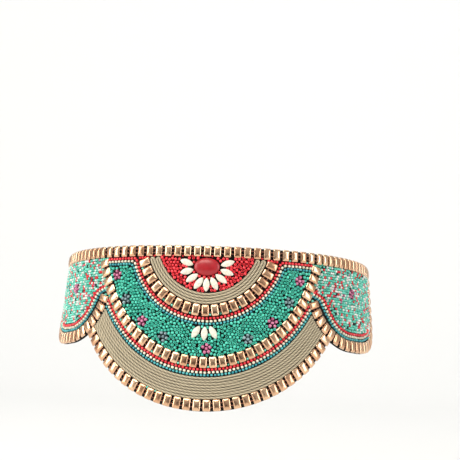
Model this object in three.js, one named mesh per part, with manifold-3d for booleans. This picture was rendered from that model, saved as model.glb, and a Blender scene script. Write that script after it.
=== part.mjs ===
// A wide beaded waist belt. A stiff cloth panel with scalloped lower edges carries rows of metallic
// pillow beads, fields and lines of seed beads, bands of twisted cord, a red cabochon and white petal
// beads. Two elastic straps and a plain clasp close it behind. Units are millimetres, +Z is up, the
// front faces -Y, and the origin is the middle of the waist opening, level with the upper bead row.
//
// Everything is laid out on the flat panel first: u runs along the belt from the middle of the
// front, v runs up from the upper bead row, and lift stands off the cloth. wrapFlat() then bends the
// flat panel round the waist without stretching it, as sewing and wearing the belt does.
import * as THREE from 'three';
import { ConvexGeometry } from 'three/addons/geometries/ConvexGeometry.js';
import { mergeVertices } from 'three/addons/utils/BufferGeometryUtils.js';
import Module from 'manifold-3d';

const wasm = await Module();
wasm.setup();

// Waist that the belt goes round: two half ovals, widening downward like a cone.
const waistHalfWidth = 123;
const waistFrontDepth = 115;
const waistBackDepth = 78;
const coneTipHeight = 1200;

// Layers.
const clearance = 0.3;
const backingThickness = 1.5;
const fieldThickness = 2.3;
const lineHeight = 2.2;
const cordHeight = 2;
const ribValley = 0.7;

// Pillow beads, and the tape that stands for the two threads through them.
const beadLength = 8.9;
const beadWidth = 5.9;
const beadShoulder = 1.9;
const beadRidge = 3.4;
const beadRidgeInset = 1.2;
const tapeWidth = 7;
const tapeThickness = 0.8;

// Gaps between the beads along each hanging row, before they are evened out. The upper row's beads
// lie further apart over the medallion, up to a change at each side, and closer over the side panels.
const beadGaps = { inner: 1.66, middle: 1.87, outer: 2.08, side: 1.4 };
const upperPitch = { middle: 8, sides: 6.8, change: 96 };

// The three bead arcs of the medallion: half ovals that hang below the upper row.
const innerArc = { centreV: 13.6, halfWidth: 56.1, drop: 60.9 };
const middleArc = { centreV: 34.6, halfWidth: 99.6, drop: 124 };
const outerArc = { centreV: 28.9, halfWidth: 132.2, drop: 152.8 };

// Side panels: half ovals, each with a rounder half next to the medallion and a squarer outer half.
// The rounder half would tuck in under the middle arc by that much.
const endRowU = 192.8;
const sideOval = { centreU: 136.1, centreV: -20.1, tuck: 11, drop: 47.1 };
const sideCornerPower = 3;
const sideLineRise = 10;

// The lanes inside that row are narrower by an inset at the rounder half, and leave it along a
// straight line from the bend on, up to the middle arc.
const laneInset = 4;
const laneBend = THREE.MathUtils.degToRad(-142);
const laneFar = -1.3 * Math.PI;

// Lines of seed beads, three side by side, and the cord bands.
const lineCount = 3;
const linePitch = 2.2;
const innerLineInset = 0.9;
const innerCordCount = 4;
const innerCordPitch = 2.3;
const outerCordCount = 8;

// Stones.
const cabochonHalfLength = 10.4;
const cabochonHalfHeight = 7.3;
const cabochonRise = 4.6;
const cabochonGirdle = 1.2;
const petalLength = 11.4;
const petalWidth = 5.4;
const petalRise = 3.2;
const petalGirdle = 1;
const petalReveal = 3;
const cabochonSides = 12;

// Petal beads round the cabochon: the way round it at which each one's inner tip lies, the way that
// the petal points, both in degrees, and the tip's gap. All but the last are mirrored pairs.
const petals = [
  { around: 9, points: 20, gap: 0.7 },
  { around: -18, points: -15, gap: 0.6 },
  { around: -51, points: -34, gap: 0.6 },
  { around: -74.5, points: -58, gap: 1.6 },
  { around: -90, points: -90, gap: 1.5 },
];

// Petal beads under the inner bead lines: one upright and a pair leaning out from it.
const lowerPetalPoints = -59;
const lowerPetalSpread = 6.9;
const lowerPetalGap = 0.6;

// Cloth edges beyond the beads.
const upperMargin = 0.1;
const lowerMargin = 0.3;
const sideMargin = 0.9;

// Elastic straps and clasp.
const strapWidth = 40;
const strapThickness = 1.5;
const strapOverlap = 18;
const strapCentreV = -24.5;
const strapEndGap = 2;
const claspLength = 26;
const claspWall = 1.4;
const claspRim = 2.5;

// Spacing of the facets along the belt and along the outer bands.
const columnStep = 9;
const bandStep = 15;
const sharpStep = 3.2;
const cornerShares = [0, 0.3, 0.5, 0.66, 0.78, 0.87, 0.93, 0.97, 1];

const halfBead = beadLength / 2;
const edge = halfBead + clearance;
const lineBandWidth = lineCount * linePitch;
const innerLineEdge = edge + innerLineInset;
const fieldGap = edge + lineBandWidth + 1.5 * clearance;
const innerFieldGap = fieldGap + innerLineInset;
const panelEndU = endRowU + halfBead + upperMargin;

const materials = {
  cloth: { color: 0x15120f, roughness: 0.85, metalness: 0 },
  elastic: { color: 0x1b1918, roughness: 0.9, metalness: 0 },
  clasp: { color: 0x232325, roughness: 0.5, metalness: 0 },
  gold: { color: 0xd8aa78, roughness: 0.32, metalness: 1 },
  red: { color: 0xcf2a2c, roughness: 0.35, metalness: 0 },
  green: { color: 0x35b48f, roughness: 0.35, metalness: 0 },
  mixed: { color: 0x7cc2a6, roughness: 0.35, metalness: 0 },
  lines: { color: 0x3f9a98, roughness: 0.35, metalness: 0 },
  cord: { color: 0xb9a887, roughness: 0.9, metalness: 0 },
  cabochon: { color: 0xb01f2a, roughness: 0.45, metalness: 0 },
  petal: { color: 0xe9e5d4, roughness: 0.5, metalness: 0 },
};

// The cone, unrolled: for each turn round the waist oval, the swing of its line about the cone's tip
// and the reach from the tip, so that flat lengths stay true on the belt.
const coneTip = new THREE.Vector3(0, 0, coneTipHeight);

function ovalPoint(turn) {
  const depth = turn < Math.PI / 2 ? waistFrontDepth : waistBackDepth;
  return new THREE.Vector3(waistHalfWidth * Math.sin(turn), -depth * Math.cos(turn), 0);
}

function unrollCone() {
  const steps = 1200;
  const lastTurn = 1.15 * Math.PI;
  const rows = [{ turn: 0, swing: 0, reach: ovalPoint(0).distanceTo(coneTip) }];
  for (let i = 1; i <= steps; i += 1) {
    const before = rows[i - 1];
    const turn = (lastTurn * i) / steps;
    const reach = ovalPoint(turn).distanceTo(coneTip);
    const step = ovalPoint(turn).distanceTo(ovalPoint(before.turn));
    const across = Math.sqrt(step ** 2 - (reach - before.reach) ** 2);
    rows.push({ turn, swing: before.swing + (2 * across) / (reach + before.reach), reach });
  }
  return rows;
}

const unrolled = unrollCone();
const frontReach = unrolled[0].reach;
const backSwing = swingOfTurn(Math.PI);

function between(rows, key, value) {
  let low = 0;
  let high = rows.length - 1;
  while (high - low > 1) {
    const middle = (low + high) >> 1;
    if (rows[middle][key] <= value) low = middle;
    else high = middle;
  }
  const share = (value - rows[low][key]) / (rows[high][key] - rows[low][key]);
  return { low: rows[low], high: rows[high], share };
}

function swingOfTurn(turn) {
  const { low, high, share } = between(unrolled, 'turn', turn);
  return THREE.MathUtils.lerp(low.swing, high.swing, share);
}

// A frame on the cone: its place, the way along the belt and the way out of the cloth.
function coneFrame(swing, reach, lift) {
  const side = Math.sign(swing) || 1;
  const { low, high, share } = between(unrolled, 'swing', Math.abs(swing));
  const turn = THREE.MathUtils.lerp(low.turn, high.turn, share);
  const foot = ovalPoint(turn);
  const ownReach = foot.distanceTo(coneTip);
  const depth = turn < Math.PI / 2 ? waistFrontDepth : waistBackDepth;
  const along = new THREE.Vector3(waistHalfWidth * Math.cos(turn), depth * Math.sin(turn), 0).normalize();
  const toTip = coneTip.clone().sub(foot).normalize();
  const out = along.clone().cross(toTip).normalize();
  const place = coneTip.clone().lerp(foot, reach / ownReach).addScaledVector(out, lift);
  for (const vector of [place, out]) vector.x *= side;
  return { place, out };
}

function wrapFlat(u, v, lift) {
  const reach = Math.hypot(u, frontReach - v);
  return coneFrame(Math.atan2(u, frontReach - v), reach, lift);
}

// The axes of a piece that sits on the belt at (u, v), with its first axis at an angle on the panel.
function seatMatrix(u, v, angle, lift) {
  const { place, out } = wrapFlat(u, v, lift);
  const ahead = wrapFlat(u + Math.cos(angle), v + Math.sin(angle), lift).place.sub(place);
  const along = ahead.addScaledVector(out, -ahead.dot(out)).normalize();
  const across = out.clone().cross(along);
  return new THREE.Matrix4().makeBasis(along, across, out).setPosition(place);
}

// Solids.
function closedGeometry(points, faces) {
  const apart = (a, b) => points[a].distanceTo(points[b]) > 1e-4;
  const real = faces.filter(([a, b, c]) => apart(a, b) && apart(b, c) && apart(c, a));
  const wedge = ([a, b, c]) => points[a].dot(points[b].clone().cross(points[c]));
  const volume = real.reduce((sum, face) => sum + wedge(face), 0);
  const ordered = volume < 0 ? real.map(([a, b, c]) => [a, c, b]) : real;
  const geometry = new THREE.BufferGeometry().setFromPoints(points);
  return geometry.setIndex(ordered.flat());
}

// Sweeps a closed profile of [across, lift] points, counter-clockwise, through the stations.
function loft(stations, profile, place) {
  const size = profile.length;
  const sectionAt = (station) => profile.map(([across, lift]) => place(station, across, lift));
  const points = stations.flatMap(sectionAt);
  const faces = [];
  for (let i = 0; i < stations.length - 1; i += 1) {
    for (let j = 0; j < size; j += 1) {
      const next = (j + 1) % size;
      const corners = [i * size + j, i * size + next, (i + 1) * size + next, (i + 1) * size + j];
      faces.push([corners[0], corners[1], corners[2]], [corners[0], corners[2], corners[3]]);
    }
  }
  const cap = THREE.ShapeUtils.triangulateShape(profile.map((corner) => new THREE.Vector2(...corner)), []);
  const last = (stations.length - 1) * size;
  for (const [a, b, c] of cap) faces.push([a, c, b], [last + a, last + b, last + c]);
  return closedGeometry(points, faces);
}

function toSolid(geometry) {
  const bare = geometry.clone();
  bare.deleteAttribute('normal');
  bare.deleteAttribute('uv');
  const merged = mergeVertices(bare, 1e-5);
  return new wasm.Manifold(new wasm.Mesh({
    numProp: 3,
    vertProperties: new Float32Array(merged.attributes.position.array),
    triVerts: new Uint32Array(merged.index.array),
  }));
}

function fromSolid(solid) {
  const mesh = solid.getMesh();
  const geometry = new THREE.BufferGeometry();
  geometry.setAttribute('position', new THREE.BufferAttribute(mesh.vertProperties, 3));
  return geometry.setIndex(new THREE.BufferAttribute(mesh.triVerts, 1));
}

function spread(start, end, step) {
  const count = Math.max(1, Math.ceil(Math.abs(end - start) / step));
  return Array.from({ length: count + 1 }, (_, i) => THREE.MathUtils.lerp(start, end, i / count));
}

function mirroredStations(half) {
  return [...half.slice(1).reverse().map((station) => -station), ...half];
}

const slabProfile = (low, high) => [[0, low], [1, low], [1, high], [0, high]];

// Leans an upright line of the panel onto the cone's straight line through (u, 0). The lean fades
// out towards the panel's square ends.
function leanedU(u, v) {
  const fade = 1 - (u / panelEndU) ** 8;
  return u * (1 - (fade * v) / frontReach);
}

// Where such a line crosses an edge of the panel.
function crossing(u, edgeV) {
  let v = edgeV(u);
  for (let i = 0; i < 8; i += 1) v = edgeV(leanedU(u, v));
  return v;
}

// A layer of beads whose lower and upper edges are given for each u.
function columnSlab(stations, lowerEdge, upperEdge, side = 1) {
  return loft(stations, slabProfile(clearance, clearance + fieldThickness), (u, share, lift) => {
    const v = THREE.MathUtils.lerp(lowerEdge(u), upperEdge(u), share);
    return wrapFlat(side * u, v, lift).place;
  });
}

// A ridged profile, one ridge for each line or cord that lies side by side.
function ribProfile(count, height) {
  const ridges = [];
  for (let k = 2 * count; k >= 0; k -= 1) {
    ridges.push([k / (2 * count), clearance + (k % 2 ? height : height - ribValley)]);
  }
  return [[0, clearance], [1, clearance], ...ridges];
}

// Half ovals on the panel. grow moves an arc outward, as its neighbours lie.
const arcDepth = (arc, grow) => arc.drop + grow;
const arcReach = (arc, grow) => arc.halfWidth + grow;

function arcPoint(arc, grow, angle) {
  return new THREE.Vector2(
    arcReach(arc, grow) * Math.cos(angle),
    arc.centreV + arcDepth(arc, grow) * Math.sin(angle),
  );
}

// Lower edge of an arc at u, and its half width at v.
function arcV(arc, grow, u) {
  return arc.centreV - arcDepth(arc, grow) * Math.sqrt(Math.max(0, 1 - (u / arcReach(arc, grow)) ** 2));
}

function arcU(arc, grow, v) {
  return arcReach(arc, grow) * Math.sqrt(Math.max(0, 1 - ((v - arc.centreV) / arcDepth(arc, grow)) ** 2));
}

// The angle at which the right half of an arc reaches the height v.
const arcAngle = (arc, grow, v) => Math.asin((v - arc.centreV) / arcDepth(arc, grow));

function blendArcs(a, b, share) {
  const mix = (key) => THREE.MathUtils.lerp(a[key], b[key], share);
  return { centreV: mix('centreV'), halfWidth: mix('halfWidth'), drop: mix('drop') };
}

const grownArc = (arc, grow) => ({ ...arc, halfWidth: arcReach(arc, grow), drop: arcDepth(arc, grow) });

// The bead row of a side panel: a quarter oval down from the medallion, and a squarer one up to the
// end row.
const sideReach = sideOval.centreU - middleArc.halfWidth + sideOval.tuck;
const sideInward = (grow) => sideReach + grow - (grow < 0 ? laneInset : 0);
const sideOutward = (grow) => endRowU - sideOval.centreU + grow;

function sidePoint(angle, grow) {
  const rising = angle > -Math.PI / 2;
  const power = rising ? sideCornerPower : 2;
  const reach = rising ? sideOutward(grow) : sideInward(grow);
  const [across, up] = [Math.cos(angle), Math.sin(angle)];
  const stretch = (Math.abs(across) ** power + Math.abs(up) ** power) ** (-1 / power);
  return new THREE.Vector2(
    sideOval.centreU + reach * across * stretch,
    sideOval.centreV + (sideOval.drop + grow) * up * stretch,
  );
}

function sideV(grow, u) {
  const rising = u > sideOval.centreU;
  const power = rising ? sideCornerPower : 2;
  const reach = rising ? sideOutward(grow) : sideInward(grow);
  const share = Math.min(1, Math.abs(u - sideOval.centreU) / reach);
  return sideOval.centreV - (sideOval.drop + grow) * (1 - share ** power) ** (1 / power);
}

// A lane inside the row, at an angle that runs on past the bend, and its lower edge at u.
function laneTangent(grow) {
  const drop = sideOval.drop + grow;
  return new THREE.Vector2(-sideInward(grow) * Math.sin(laneBend), drop * Math.cos(laneBend));
}

function lanePoint(angle, grow) {
  const past = Math.min(0, angle - laneBend);
  return sidePoint(Math.max(angle, laneBend), grow).addScaledVector(laneTangent(grow), past);
}

function laneV(grow, u) {
  const bend = sidePoint(laneBend, grow);
  const tangent = laneTangent(grow);
  return u > bend.x ? sideV(grow, u) : bend.y + ((u - bend.x) * tangent.y) / tangent.x;
}

const insideSide = (point, grow) => point.x > sideOval.centreU - sideInward(grow)
  && point.y > sideV(grow, point.x);

// The value between two others at which a test turns from true to false.
function turningValue(holds, fails, test) {
  let [good, bad] = [holds, fails];
  for (let i = 0; i < 40; i += 1) {
    const middle = (good + bad) / 2;
    if (test(middle)) good = middle;
    else bad = middle;
  }
  return good;
}

// The angle at which a side panel's row or lane comes clear of the medallion's middle arc.
function sideStartAngle(pointAt, farAngle, gap) {
  return turningValue(-Math.PI / 2, farAngle, (angle) => {
    const point = pointAt(angle);
    return point.x > arcU(middleArc, gap, point.y);
  });
}

const laneStartAngle = (grow, gap) => sideStartAngle((angle) => lanePoint(angle, grow), laneFar, gap);

// The angle at which the right half of an arc runs into a side panel's beads.
function meetingAngle(arc, gap) {
  const far = arcAngle(arc, 0, sideOval.centreV);
  return turningValue(-Math.PI / 2, far, (angle) => !insideSide(arcPoint(arc, 0, angle), gap));
}

// Rows of pillow beads. Each bead rises from the tape to its two shoulders and a ridge between them.
const tapeSection = { foot: tapeWidth / 2, top: tapeWidth / 2, height: tapeThickness };
const shoulderSection = { foot: tapeWidth / 2, top: halfBead, height: beadShoulder };
const ridgeSection = { foot: tapeWidth / 2, top: halfBead - beadRidgeInset, height: beadRidge };

function beadSections(seat) {
  const at = (x, section) => ({ seat, x: x * beadWidth, ...section });
  return [
    at(-0.5, tapeSection), at(-0.5, shoulderSection), at(0, ridgeSection),
    at(0.5, shoulderSection), at(0.5, tapeSection),
  ];
}

// Shares of a curve's length at which beads sit evenly.
function evenShares(curve, gap) {
  return spread(0, 1, 1 / Math.round(curve.getLength() / (beadWidth + gap)));
}

// Sets beads along a flat curve, joined by their tape into one body.
function beadRow(curve, shares, side = 1) {
  const sections = shares.flatMap((share) => {
    const place = curve.getPointAt(share);
    const heading = curve.getTangentAt(share);
    const angle = Math.atan2(heading.y, side * heading.x);
    return beadSections(seatMatrix(side * place.x, place.y, angle, clearance));
  });
  return loft(sections.slice(1, -1), slabProfile(0, 1), (section, share, level) => {
    const reach = THREE.MathUtils.lerp(section.foot, section.top, level);
    const corner = new THREE.Vector3(section.x, (2 * share - 1) * reach, level * section.height);
    return corner.applyMatrix4(section.seat);
  });
}

function upperRow() {
  const reach = endRowU + halfBead - beadWidth / 2;
  const line = new THREE.LineCurve(new THREE.Vector2(-reach, 0), new THREE.Vector2(reach, 0));
  const { middle, sides, change } = upperPitch;
  const half = [...spread(0, change, middle), ...spread(change, reach, sides).slice(1)];
  return beadRow(line, mirroredStations(half).map((u) => (u + reach) / (2 * reach)));
}

// An arc row that starts and ends at the same angle on both sides.
function arcRow(arc, end, gap) {
  const { centreV, halfWidth, drop } = arc;
  const curve = new THREE.EllipseCurve(0, centreV, halfWidth, drop, -Math.PI - end, end, false);
  return beadRow(curve, evenShares(curve, gap));
}

// How far under the upper row's middle the highest bead of a hanging row sits. An arc leans, so its
// last bead sits lower by a little.
const leaningDrop = 1.4;
const underRowV = -(edge + beadWidth / 2);
const arcEndV = underRowV - leaningDrop;

function sideRow(side) {
  const gap = halfBead + beadWidth / 2 + leaningDrop + 3 * clearance;
  const start = sideStartAngle((angle) => sidePoint(angle, 0), -Math.PI, gap);
  const points = spread(start, 0, 0.1).map((angle) => sidePoint(angle, 0));
  const rise = spread(sideOval.centreV, underRowV, sharpStep).slice(1);
  points.push(...rise.map((v) => new THREE.Vector2(endRowU, v)));
  const curve = new THREE.SplineCurve(points);
  return beadRow(curve, evenShares(curve, beadGaps.side), side);
}

// Cloth backing.
function backing() {
  const scallop = (u) => arcV(outerArc, halfBead + lowerMargin, Math.abs(u));
  const sideEdge = (u) => sideV(halfBead + sideMargin, Math.min(Math.abs(u), panelEndU));
  const lowerEdge = (u) => Math.min(scallop(u), sideEdge(u));
  const inScallop = (u) => scallop(u) < sideEdge(u);
  const notchU = turningValue(sideOval.centreU - sideReach, sideOval.centreU, inScallop);
  const half = [
    ...spread(0, notchU - columnStep, columnStep).slice(0, -1),
    ...spread(notchU - columnStep, notchU + columnStep, sharpStep).slice(0, -1),
    ...spread(notchU + columnStep, sideOval.centreU, columnStep).slice(0, -1),
    ...cornerShares.map((share) => THREE.MathUtils.lerp(sideOval.centreU, panelEndU, share)),
  ];
  return loft(mirroredStations(half), slabProfile(-backingThickness, 0), (u, share, lift) => {
    const v = THREE.MathUtils.lerp(crossing(u, lowerEdge), halfBead + upperMargin, share);
    return wrapFlat(leanedU(u, v), v, lift).place;
  });
}

// Fields of seed beads, as flat pads with the fields' outlines.
function greenField() {
  const upperV = -innerFieldGap;
  const cornerU = arcU(innerArc, innerFieldGap, upperV);
  const tipU = arcU(middleArc, -edge, upperV) - clearance;
  const half = [
    ...spread(0, cornerU - columnStep, columnStep).slice(0, -1),
    ...spread(cornerU - columnStep, cornerU, sharpStep).slice(0, -1),
    ...spread(cornerU, tipU, columnStep / 2),
  ];
  const upperEdge = (u) => (Math.abs(u) < cornerU ? arcV(innerArc, innerFieldGap, u) : upperV);
  const lowerEdge = (u) => Math.min(arcV(middleArc, -edge, u), upperEdge(u) - clearance);
  return columnSlab(mirroredStations(half), lowerEdge, upperEdge);
}

const innerCordWidth = innerCordCount * innerCordPitch;
const redGrow = -(edge + innerCordWidth + clearance);

function redField() {
  const upperV = -edge;
  const tipU = arcU(innerArc, redGrow, upperV) - sharpStep / 2;
  const half = [
    ...spread(0, tipU - columnStep, columnStep).slice(0, -1),
    ...spread(tipU - columnStep, tipU, sharpStep),
  ];
  return columnSlab(mirroredStations(half), (u) => arcV(innerArc, redGrow, u), () => upperV);
}

const sideFieldGrow = -(fieldGap + clearance);
const sideLineTop = sideOval.centreV + sideLineRise;

function sideField(side) {
  const upperV = -edge;
  const outerU = endRowU - edge;
  const stepU = endRowU + sideFieldGrow - clearance;
  const upperU = arcU(middleArc, edge, upperV);
  const tipU = lanePoint(laneStartAngle(sideFieldGrow, edge + clearance), sideFieldGrow).x;
  const stations = [
    ...spread(tipU, upperU, sharpStep).slice(0, -1),
    ...spread(upperU, sideOval.centreU, columnStep).slice(0, -1),
    ...spread(sideOval.centreU, stepU - clearance, columnStep / 2),
    stepU + clearance,
    outerU,
  ];
  const upperEdge = (u) => (u < upperU ? arcV(middleArc, edge, u) : upperV);
  const lowerEdge = (u) => (u < stepU ? laneV(sideFieldGrow, u) : sideLineTop + clearance);
  return columnSlab(stations, lowerEdge, upperEdge, side);
}

// Bands that follow the medallion's arcs. Each lane has its own arc and its own end angle, so the
// band's ends follow what they meet.
function arcBand(laneArc, laneEnd, profile, step) {
  const ends = new Map(profile.map(([share]) => [share, laneEnd(laneArc(share))]));
  const stations = spread(0, 1, step / (Math.PI * laneArc(0.5).halfWidth));
  return loft(stations, profile, (station, share, lift) => {
    const end = ends.get(share);
    const angle = THREE.MathUtils.lerp(-Math.PI - end, end, station);
    const point = arcPoint(laneArc(share), 0, angle);
    return wrapFlat(point.x, point.y, lift).place;
  });
}

function innerCordBand() {
  const lane = (share) => grownArc(innerArc, THREE.MathUtils.lerp(-edge - innerCordWidth, -edge, share));
  const end = (arc) => arcAngle(arc, 0, -edge);
  return arcBand(lane, end, ribProfile(innerCordCount, cordHeight), columnStep);
}

// Bands that run into a side panel stop short of its tilted beads.
const bandEndGap = edge + 3 * clearance;
const bandEnd = (arc) => meetingAngle(arc, bandEndGap);

function outerCordBand() {
  const inner = grownArc(middleArc, fieldGap);
  const outer = grownArc(outerArc, -edge);
  const lane = (share) => blendArcs(inner, outer, share);
  return arcBand(lane, bandEnd, ribProfile(outerCordCount, cordHeight), bandStep);
}

function outerLines() {
  const lane = (share) => grownArc(middleArc, edge + share * lineBandWidth);
  return arcBand(lane, bandEnd, ribProfile(lineCount, lineHeight), bandStep);
}

// The inner lines also run out along the upper row to the middle arc. A station up to 1 lies on the
// inner arc, and one from 1 to 2 on the run along the row, with a mitred corner between them.
function innerLines() {
  const profile = ribProfile(lineCount, lineHeight);
  const arcStations = spread(0, 1, (2 * columnStep) / (Math.PI * innerArc.halfWidth));
  const rowStations = spread(1, 2, columnStep / (middleArc.halfWidth - innerArc.halfWidth));
  const stations = mirroredStations([...arcStations, ...rowStations.slice(1)]);
  return loft(stations, profile, (station, share, lift) => {
    const grow = innerLineEdge + share * lineBandWidth;
    const way = Math.abs(station);
    const corner = arcAngle(innerArc, grow, -grow);
    const angle = THREE.MathUtils.lerp(-Math.PI / 2, corner, Math.min(way, 1));
    const onArc = arcPoint(innerArc, grow, angle);
    const farU = arcU(middleArc, -edge, -grow) - clearance;
    const u = way > 1 ? THREE.MathUtils.lerp(onArc.x, farU, way - 1) : onArc.x;
    return wrapFlat(Math.sign(station) * u, onArc.y, lift).place;
  });
}

function sideLines(side) {
  const laneGrow = (share) => -(edge + share * lineBandWidth);
  const profile = ribProfile(lineCount, lineHeight);
  const starts = new Map(profile.map(([share]) => [share, laneStartAngle(laneGrow(share), edge)]));
  const length = endRowU - sideOval.centreU + sideReach;
  const bend = spread(0, 1, (0.85 * columnStep) / length);
  const stations = [...bend, ...spread(1, 2, columnStep / sideLineRise).slice(1)];
  return loft(stations, profile, (station, share, lift) => {
    const angle = THREE.MathUtils.lerp(starts.get(share), 0, Math.min(station, 1));
    const point = lanePoint(angle, laneGrow(share));
    const rise = Math.max(0, station - 1) * sideLineRise;
    return wrapFlat(side * point.x, point.y + rise, lift).place;
  });
}

// Stones: convex forms with a straight girdle, a shoulder and a top.
const stoneShoulder = { size: 0.68, height: 0.75 };

function domedStone(outline, girdle, rise) {
  const ring = (size, z) => outline.map(([x, y]) => new THREE.Vector3(x * size, y * size, z));
  const shoulderZ = THREE.MathUtils.lerp(girdle, rise, stoneShoulder.height);
  const shoulder = ring(stoneShoulder.size, shoulderZ);
  return new ConvexGeometry([...ring(1, 0), ...ring(1, girdle), ...shoulder, new THREE.Vector3(0, 0, rise)]);
}

function ovalOutline(halfLength, halfHeight, sides) {
  return Array.from({ length: sides }, (_, i) => {
    const angle = (2 * Math.PI * i) / sides;
    return [halfLength * Math.cos(angle), halfHeight * Math.sin(angle)];
  });
}

// A petal bead is pointed at both ends.
function petalOutline(length, width) {
  const shares = [[0.5, 0], [0.34, 0.34], [0, 0.5], [-0.34, 0.34]];
  const upper = shares.map(([x, y]) => [x * length, y * width]);
  return [...upper, ...upper.map(([x, y]) => [-x, -y])];
}

const cabochonV = -(edge + clearance + cabochonHalfHeight);
const cabochonSeat = seatMatrix(0, cabochonV, 0, clearance);

// Seats on both sides for a stone at u, or one seat where u is zero.
function pairedSeats(u, v, angle) {
  const right = seatMatrix(u, v, angle, clearance);
  return Math.abs(u) < 1e-6 ? [right] : [seatMatrix(-u, v, Math.PI - angle, clearance), right];
}

const petalSeats = petals.flatMap(({ around, points, gap }) => {
  const [way, angle] = [around, points].map(THREE.MathUtils.degToRad);
  const tipU = (cabochonHalfLength + gap) * Math.cos(way);
  const tipV = cabochonV + (cabochonHalfHeight + gap) * Math.sin(way);
  const half = petalLength / 2;
  return pairedSeats(tipU + half * Math.cos(angle), tipV + half * Math.sin(angle), angle);
});

const lowerPetalSeats = [[0, -90], [lowerPetalSpread, lowerPetalPoints]].flatMap(([u, points]) => {
  const angle = THREE.MathUtils.degToRad(points);
  const topV = arcV(innerArc, innerFieldGap, u) - lowerPetalGap;
  return pairedSeats(u, topV + (petalLength / 2) * Math.sin(angle), angle);
});

// Cuts sockets for the stones through a field.
function withSockets(field, sockets) {
  const rings = [-3 * fieldThickness, 3 * fieldThickness];
  return fromSolid(sockets.reduce((rest, { outline, seat }) => {
    const socket = loft(rings, outline, (z, x, y) => new THREE.Vector3(x, y, z).applyMatrix4(seat));
    return rest.subtract(toSolid(socket));
  }, toSolid(field)));
}

// Moves each side of a convex outline outward by a gap.
function grownOutline(outline, gap) {
  const sides = outline.map((start, i) => {
    const end = outline[(i + 1) % outline.length];
    const out = new THREE.Vector2(end[1] - start[1], start[0] - end[0]).normalize();
    return { out, reach: out.x * start[0] + out.y * start[1] + gap };
  });
  return sides.map((side, i) => {
    const before = sides[(i + sides.length - 1) % sides.length];
    const span = before.out.x * side.out.y - before.out.y * side.out.x;
    return [
      (before.reach * side.out.y - side.reach * before.out.y) / span,
      (side.reach * before.out.x - before.reach * side.out.x) / span,
    ];
  });
}

const petalShape = petalOutline(petalLength, petalWidth);
const cabochonShape = ovalOutline(cabochonHalfLength, cabochonHalfHeight, cabochonSides);
const petalSocket = grownOutline(petalShape, clearance);
const middleSocket = grownOutline(cabochonShape, petalReveal);

// The straps leave the panel along its own line and level out towards the back. A run is the way
// round the waist from the middle of the front.
const strapLift = -(backingThickness + 1.5 * clearance);
const runOf = (u) => Math.atan2(u, frontReach - strapCentreV) * frontReach;
const strapStartRun = runOf(endRowU + halfBead - strapOverlap);
const panelEndRun = runOf(endRowU);
const panelEndZ = wrapFlat(endRowU, strapCentreV, 0).place.z;
const panelEndSlope = -Math.tan(panelEndRun / frontReach);
const backRun = backSwing * frontReach;

function strapZ(run) {
  const levelRun = backRun - panelEndRun;
  const past = Math.min(run - panelEndRun, 2 * levelRun - (run - panelEndRun));
  const bend = Math.max(0, past) ** 2 / (2 * levelRun);
  return panelEndZ + panelEndSlope * (past - bend);
}

function strapPlace(run, height, lift) {
  const swing = run / frontReach;
  const { low, high, share } = between(unrolled, 'swing', swing);
  const reach = THREE.MathUtils.lerp(low.reach, high.reach, share);
  const z = strapZ(run) + height;
  return coneFrame(swing, reach * (1 - z / coneTipHeight), lift).place;
}

function strap(side) {
  const clearRun = runOf(panelEndU) + clearance;
  const stations = [
    ...spread(strapStartRun, clearRun, columnStep / 2).slice(0, -1),
    ...spread(clearRun, backRun - strapEndGap / 2, columnStep),
  ];
  return loft(stations, slabProfile(strapLift - strapThickness, strapLift), (run, share, lift) => {
    const place = strapPlace(run, (share - 0.5) * strapWidth, lift);
    place.x *= side;
    return place;
  });
}

// One plain sleeve that holds both strap ends.
function clasp() {
  const block = (length, width, low, high) => {
    const stations = spread(backRun - length / 2, backRun + length / 2, columnStep);
    const place = (run, share, lift) => strapPlace(run, (share - 0.5) * width, lift);
    return toSolid(loft(stations, slabProfile(low, high), place));
  };
  const slotLow = strapLift - strapThickness - clearance;
  const slotHigh = strapLift + clearance;
  const slotWidth = strapWidth + 2 * clearance;
  const outside = block(claspLength, slotWidth + 2 * claspRim, slotLow - claspWall, slotHigh + claspWall);
  return fromSolid(outside.subtract(block(2 * claspLength, slotWidth, slotLow, slotHigh)));
}

// The belt.
const belt = new THREE.Group();

function addPiece(name, geometry, finish, seat) {
  const shaded = geometry.index ? geometry.toNonIndexed() : geometry;
  shaded.computeVertexNormals();
  const mesh = new THREE.Mesh(shaded, new THREE.MeshStandardMaterial(materials[finish]));
  mesh.name = name;
  if (seat) seat.decompose(mesh.position, mesh.quaternion, mesh.scale);
  belt.add(mesh);
}

const middleEnd = arcAngle(middleArc, 0, arcEndV);
const innerEnd = arcAngle(innerArc, 0, arcEndV);
const outerEnd = meetingAngle(outerArc, halfBead + beadWidth / 2 + 2 * clearance);

addPiece('backing', backing(), 'cloth');
addPiece('upper_bead_row', upperRow(), 'gold');
addPiece('inner_arc_bead_row', arcRow(innerArc, innerEnd, beadGaps.inner), 'gold');
addPiece('middle_arc_bead_row', arcRow(middleArc, middleEnd, beadGaps.middle), 'gold');
addPiece('outer_arc_bead_row', arcRow(outerArc, outerEnd, beadGaps.outer), 'gold');
addPiece('inner_cord_band', innerCordBand(), 'cord');
addPiece('outer_cord_band', outerCordBand(), 'cord');
addPiece('inner_bead_lines', innerLines(), 'lines');
addPiece('outer_bead_lines', outerLines(), 'lines');
addPiece('cabochon', domedStone(cabochonShape, cabochonGirdle, cabochonRise), 'cabochon', cabochonSeat);

for (const [i, seat] of petalSeats.entries()) {
  addPiece(`petal_${i + 1}`, domedStone(petalShape, petalGirdle, petalRise), 'petal', seat);
}
for (const [i, seat] of lowerPetalSeats.entries()) {
  addPiece(`lower_petal_${i + 1}`, domedStone(petalShape, petalGirdle, petalRise), 'petal', seat);
}

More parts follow.
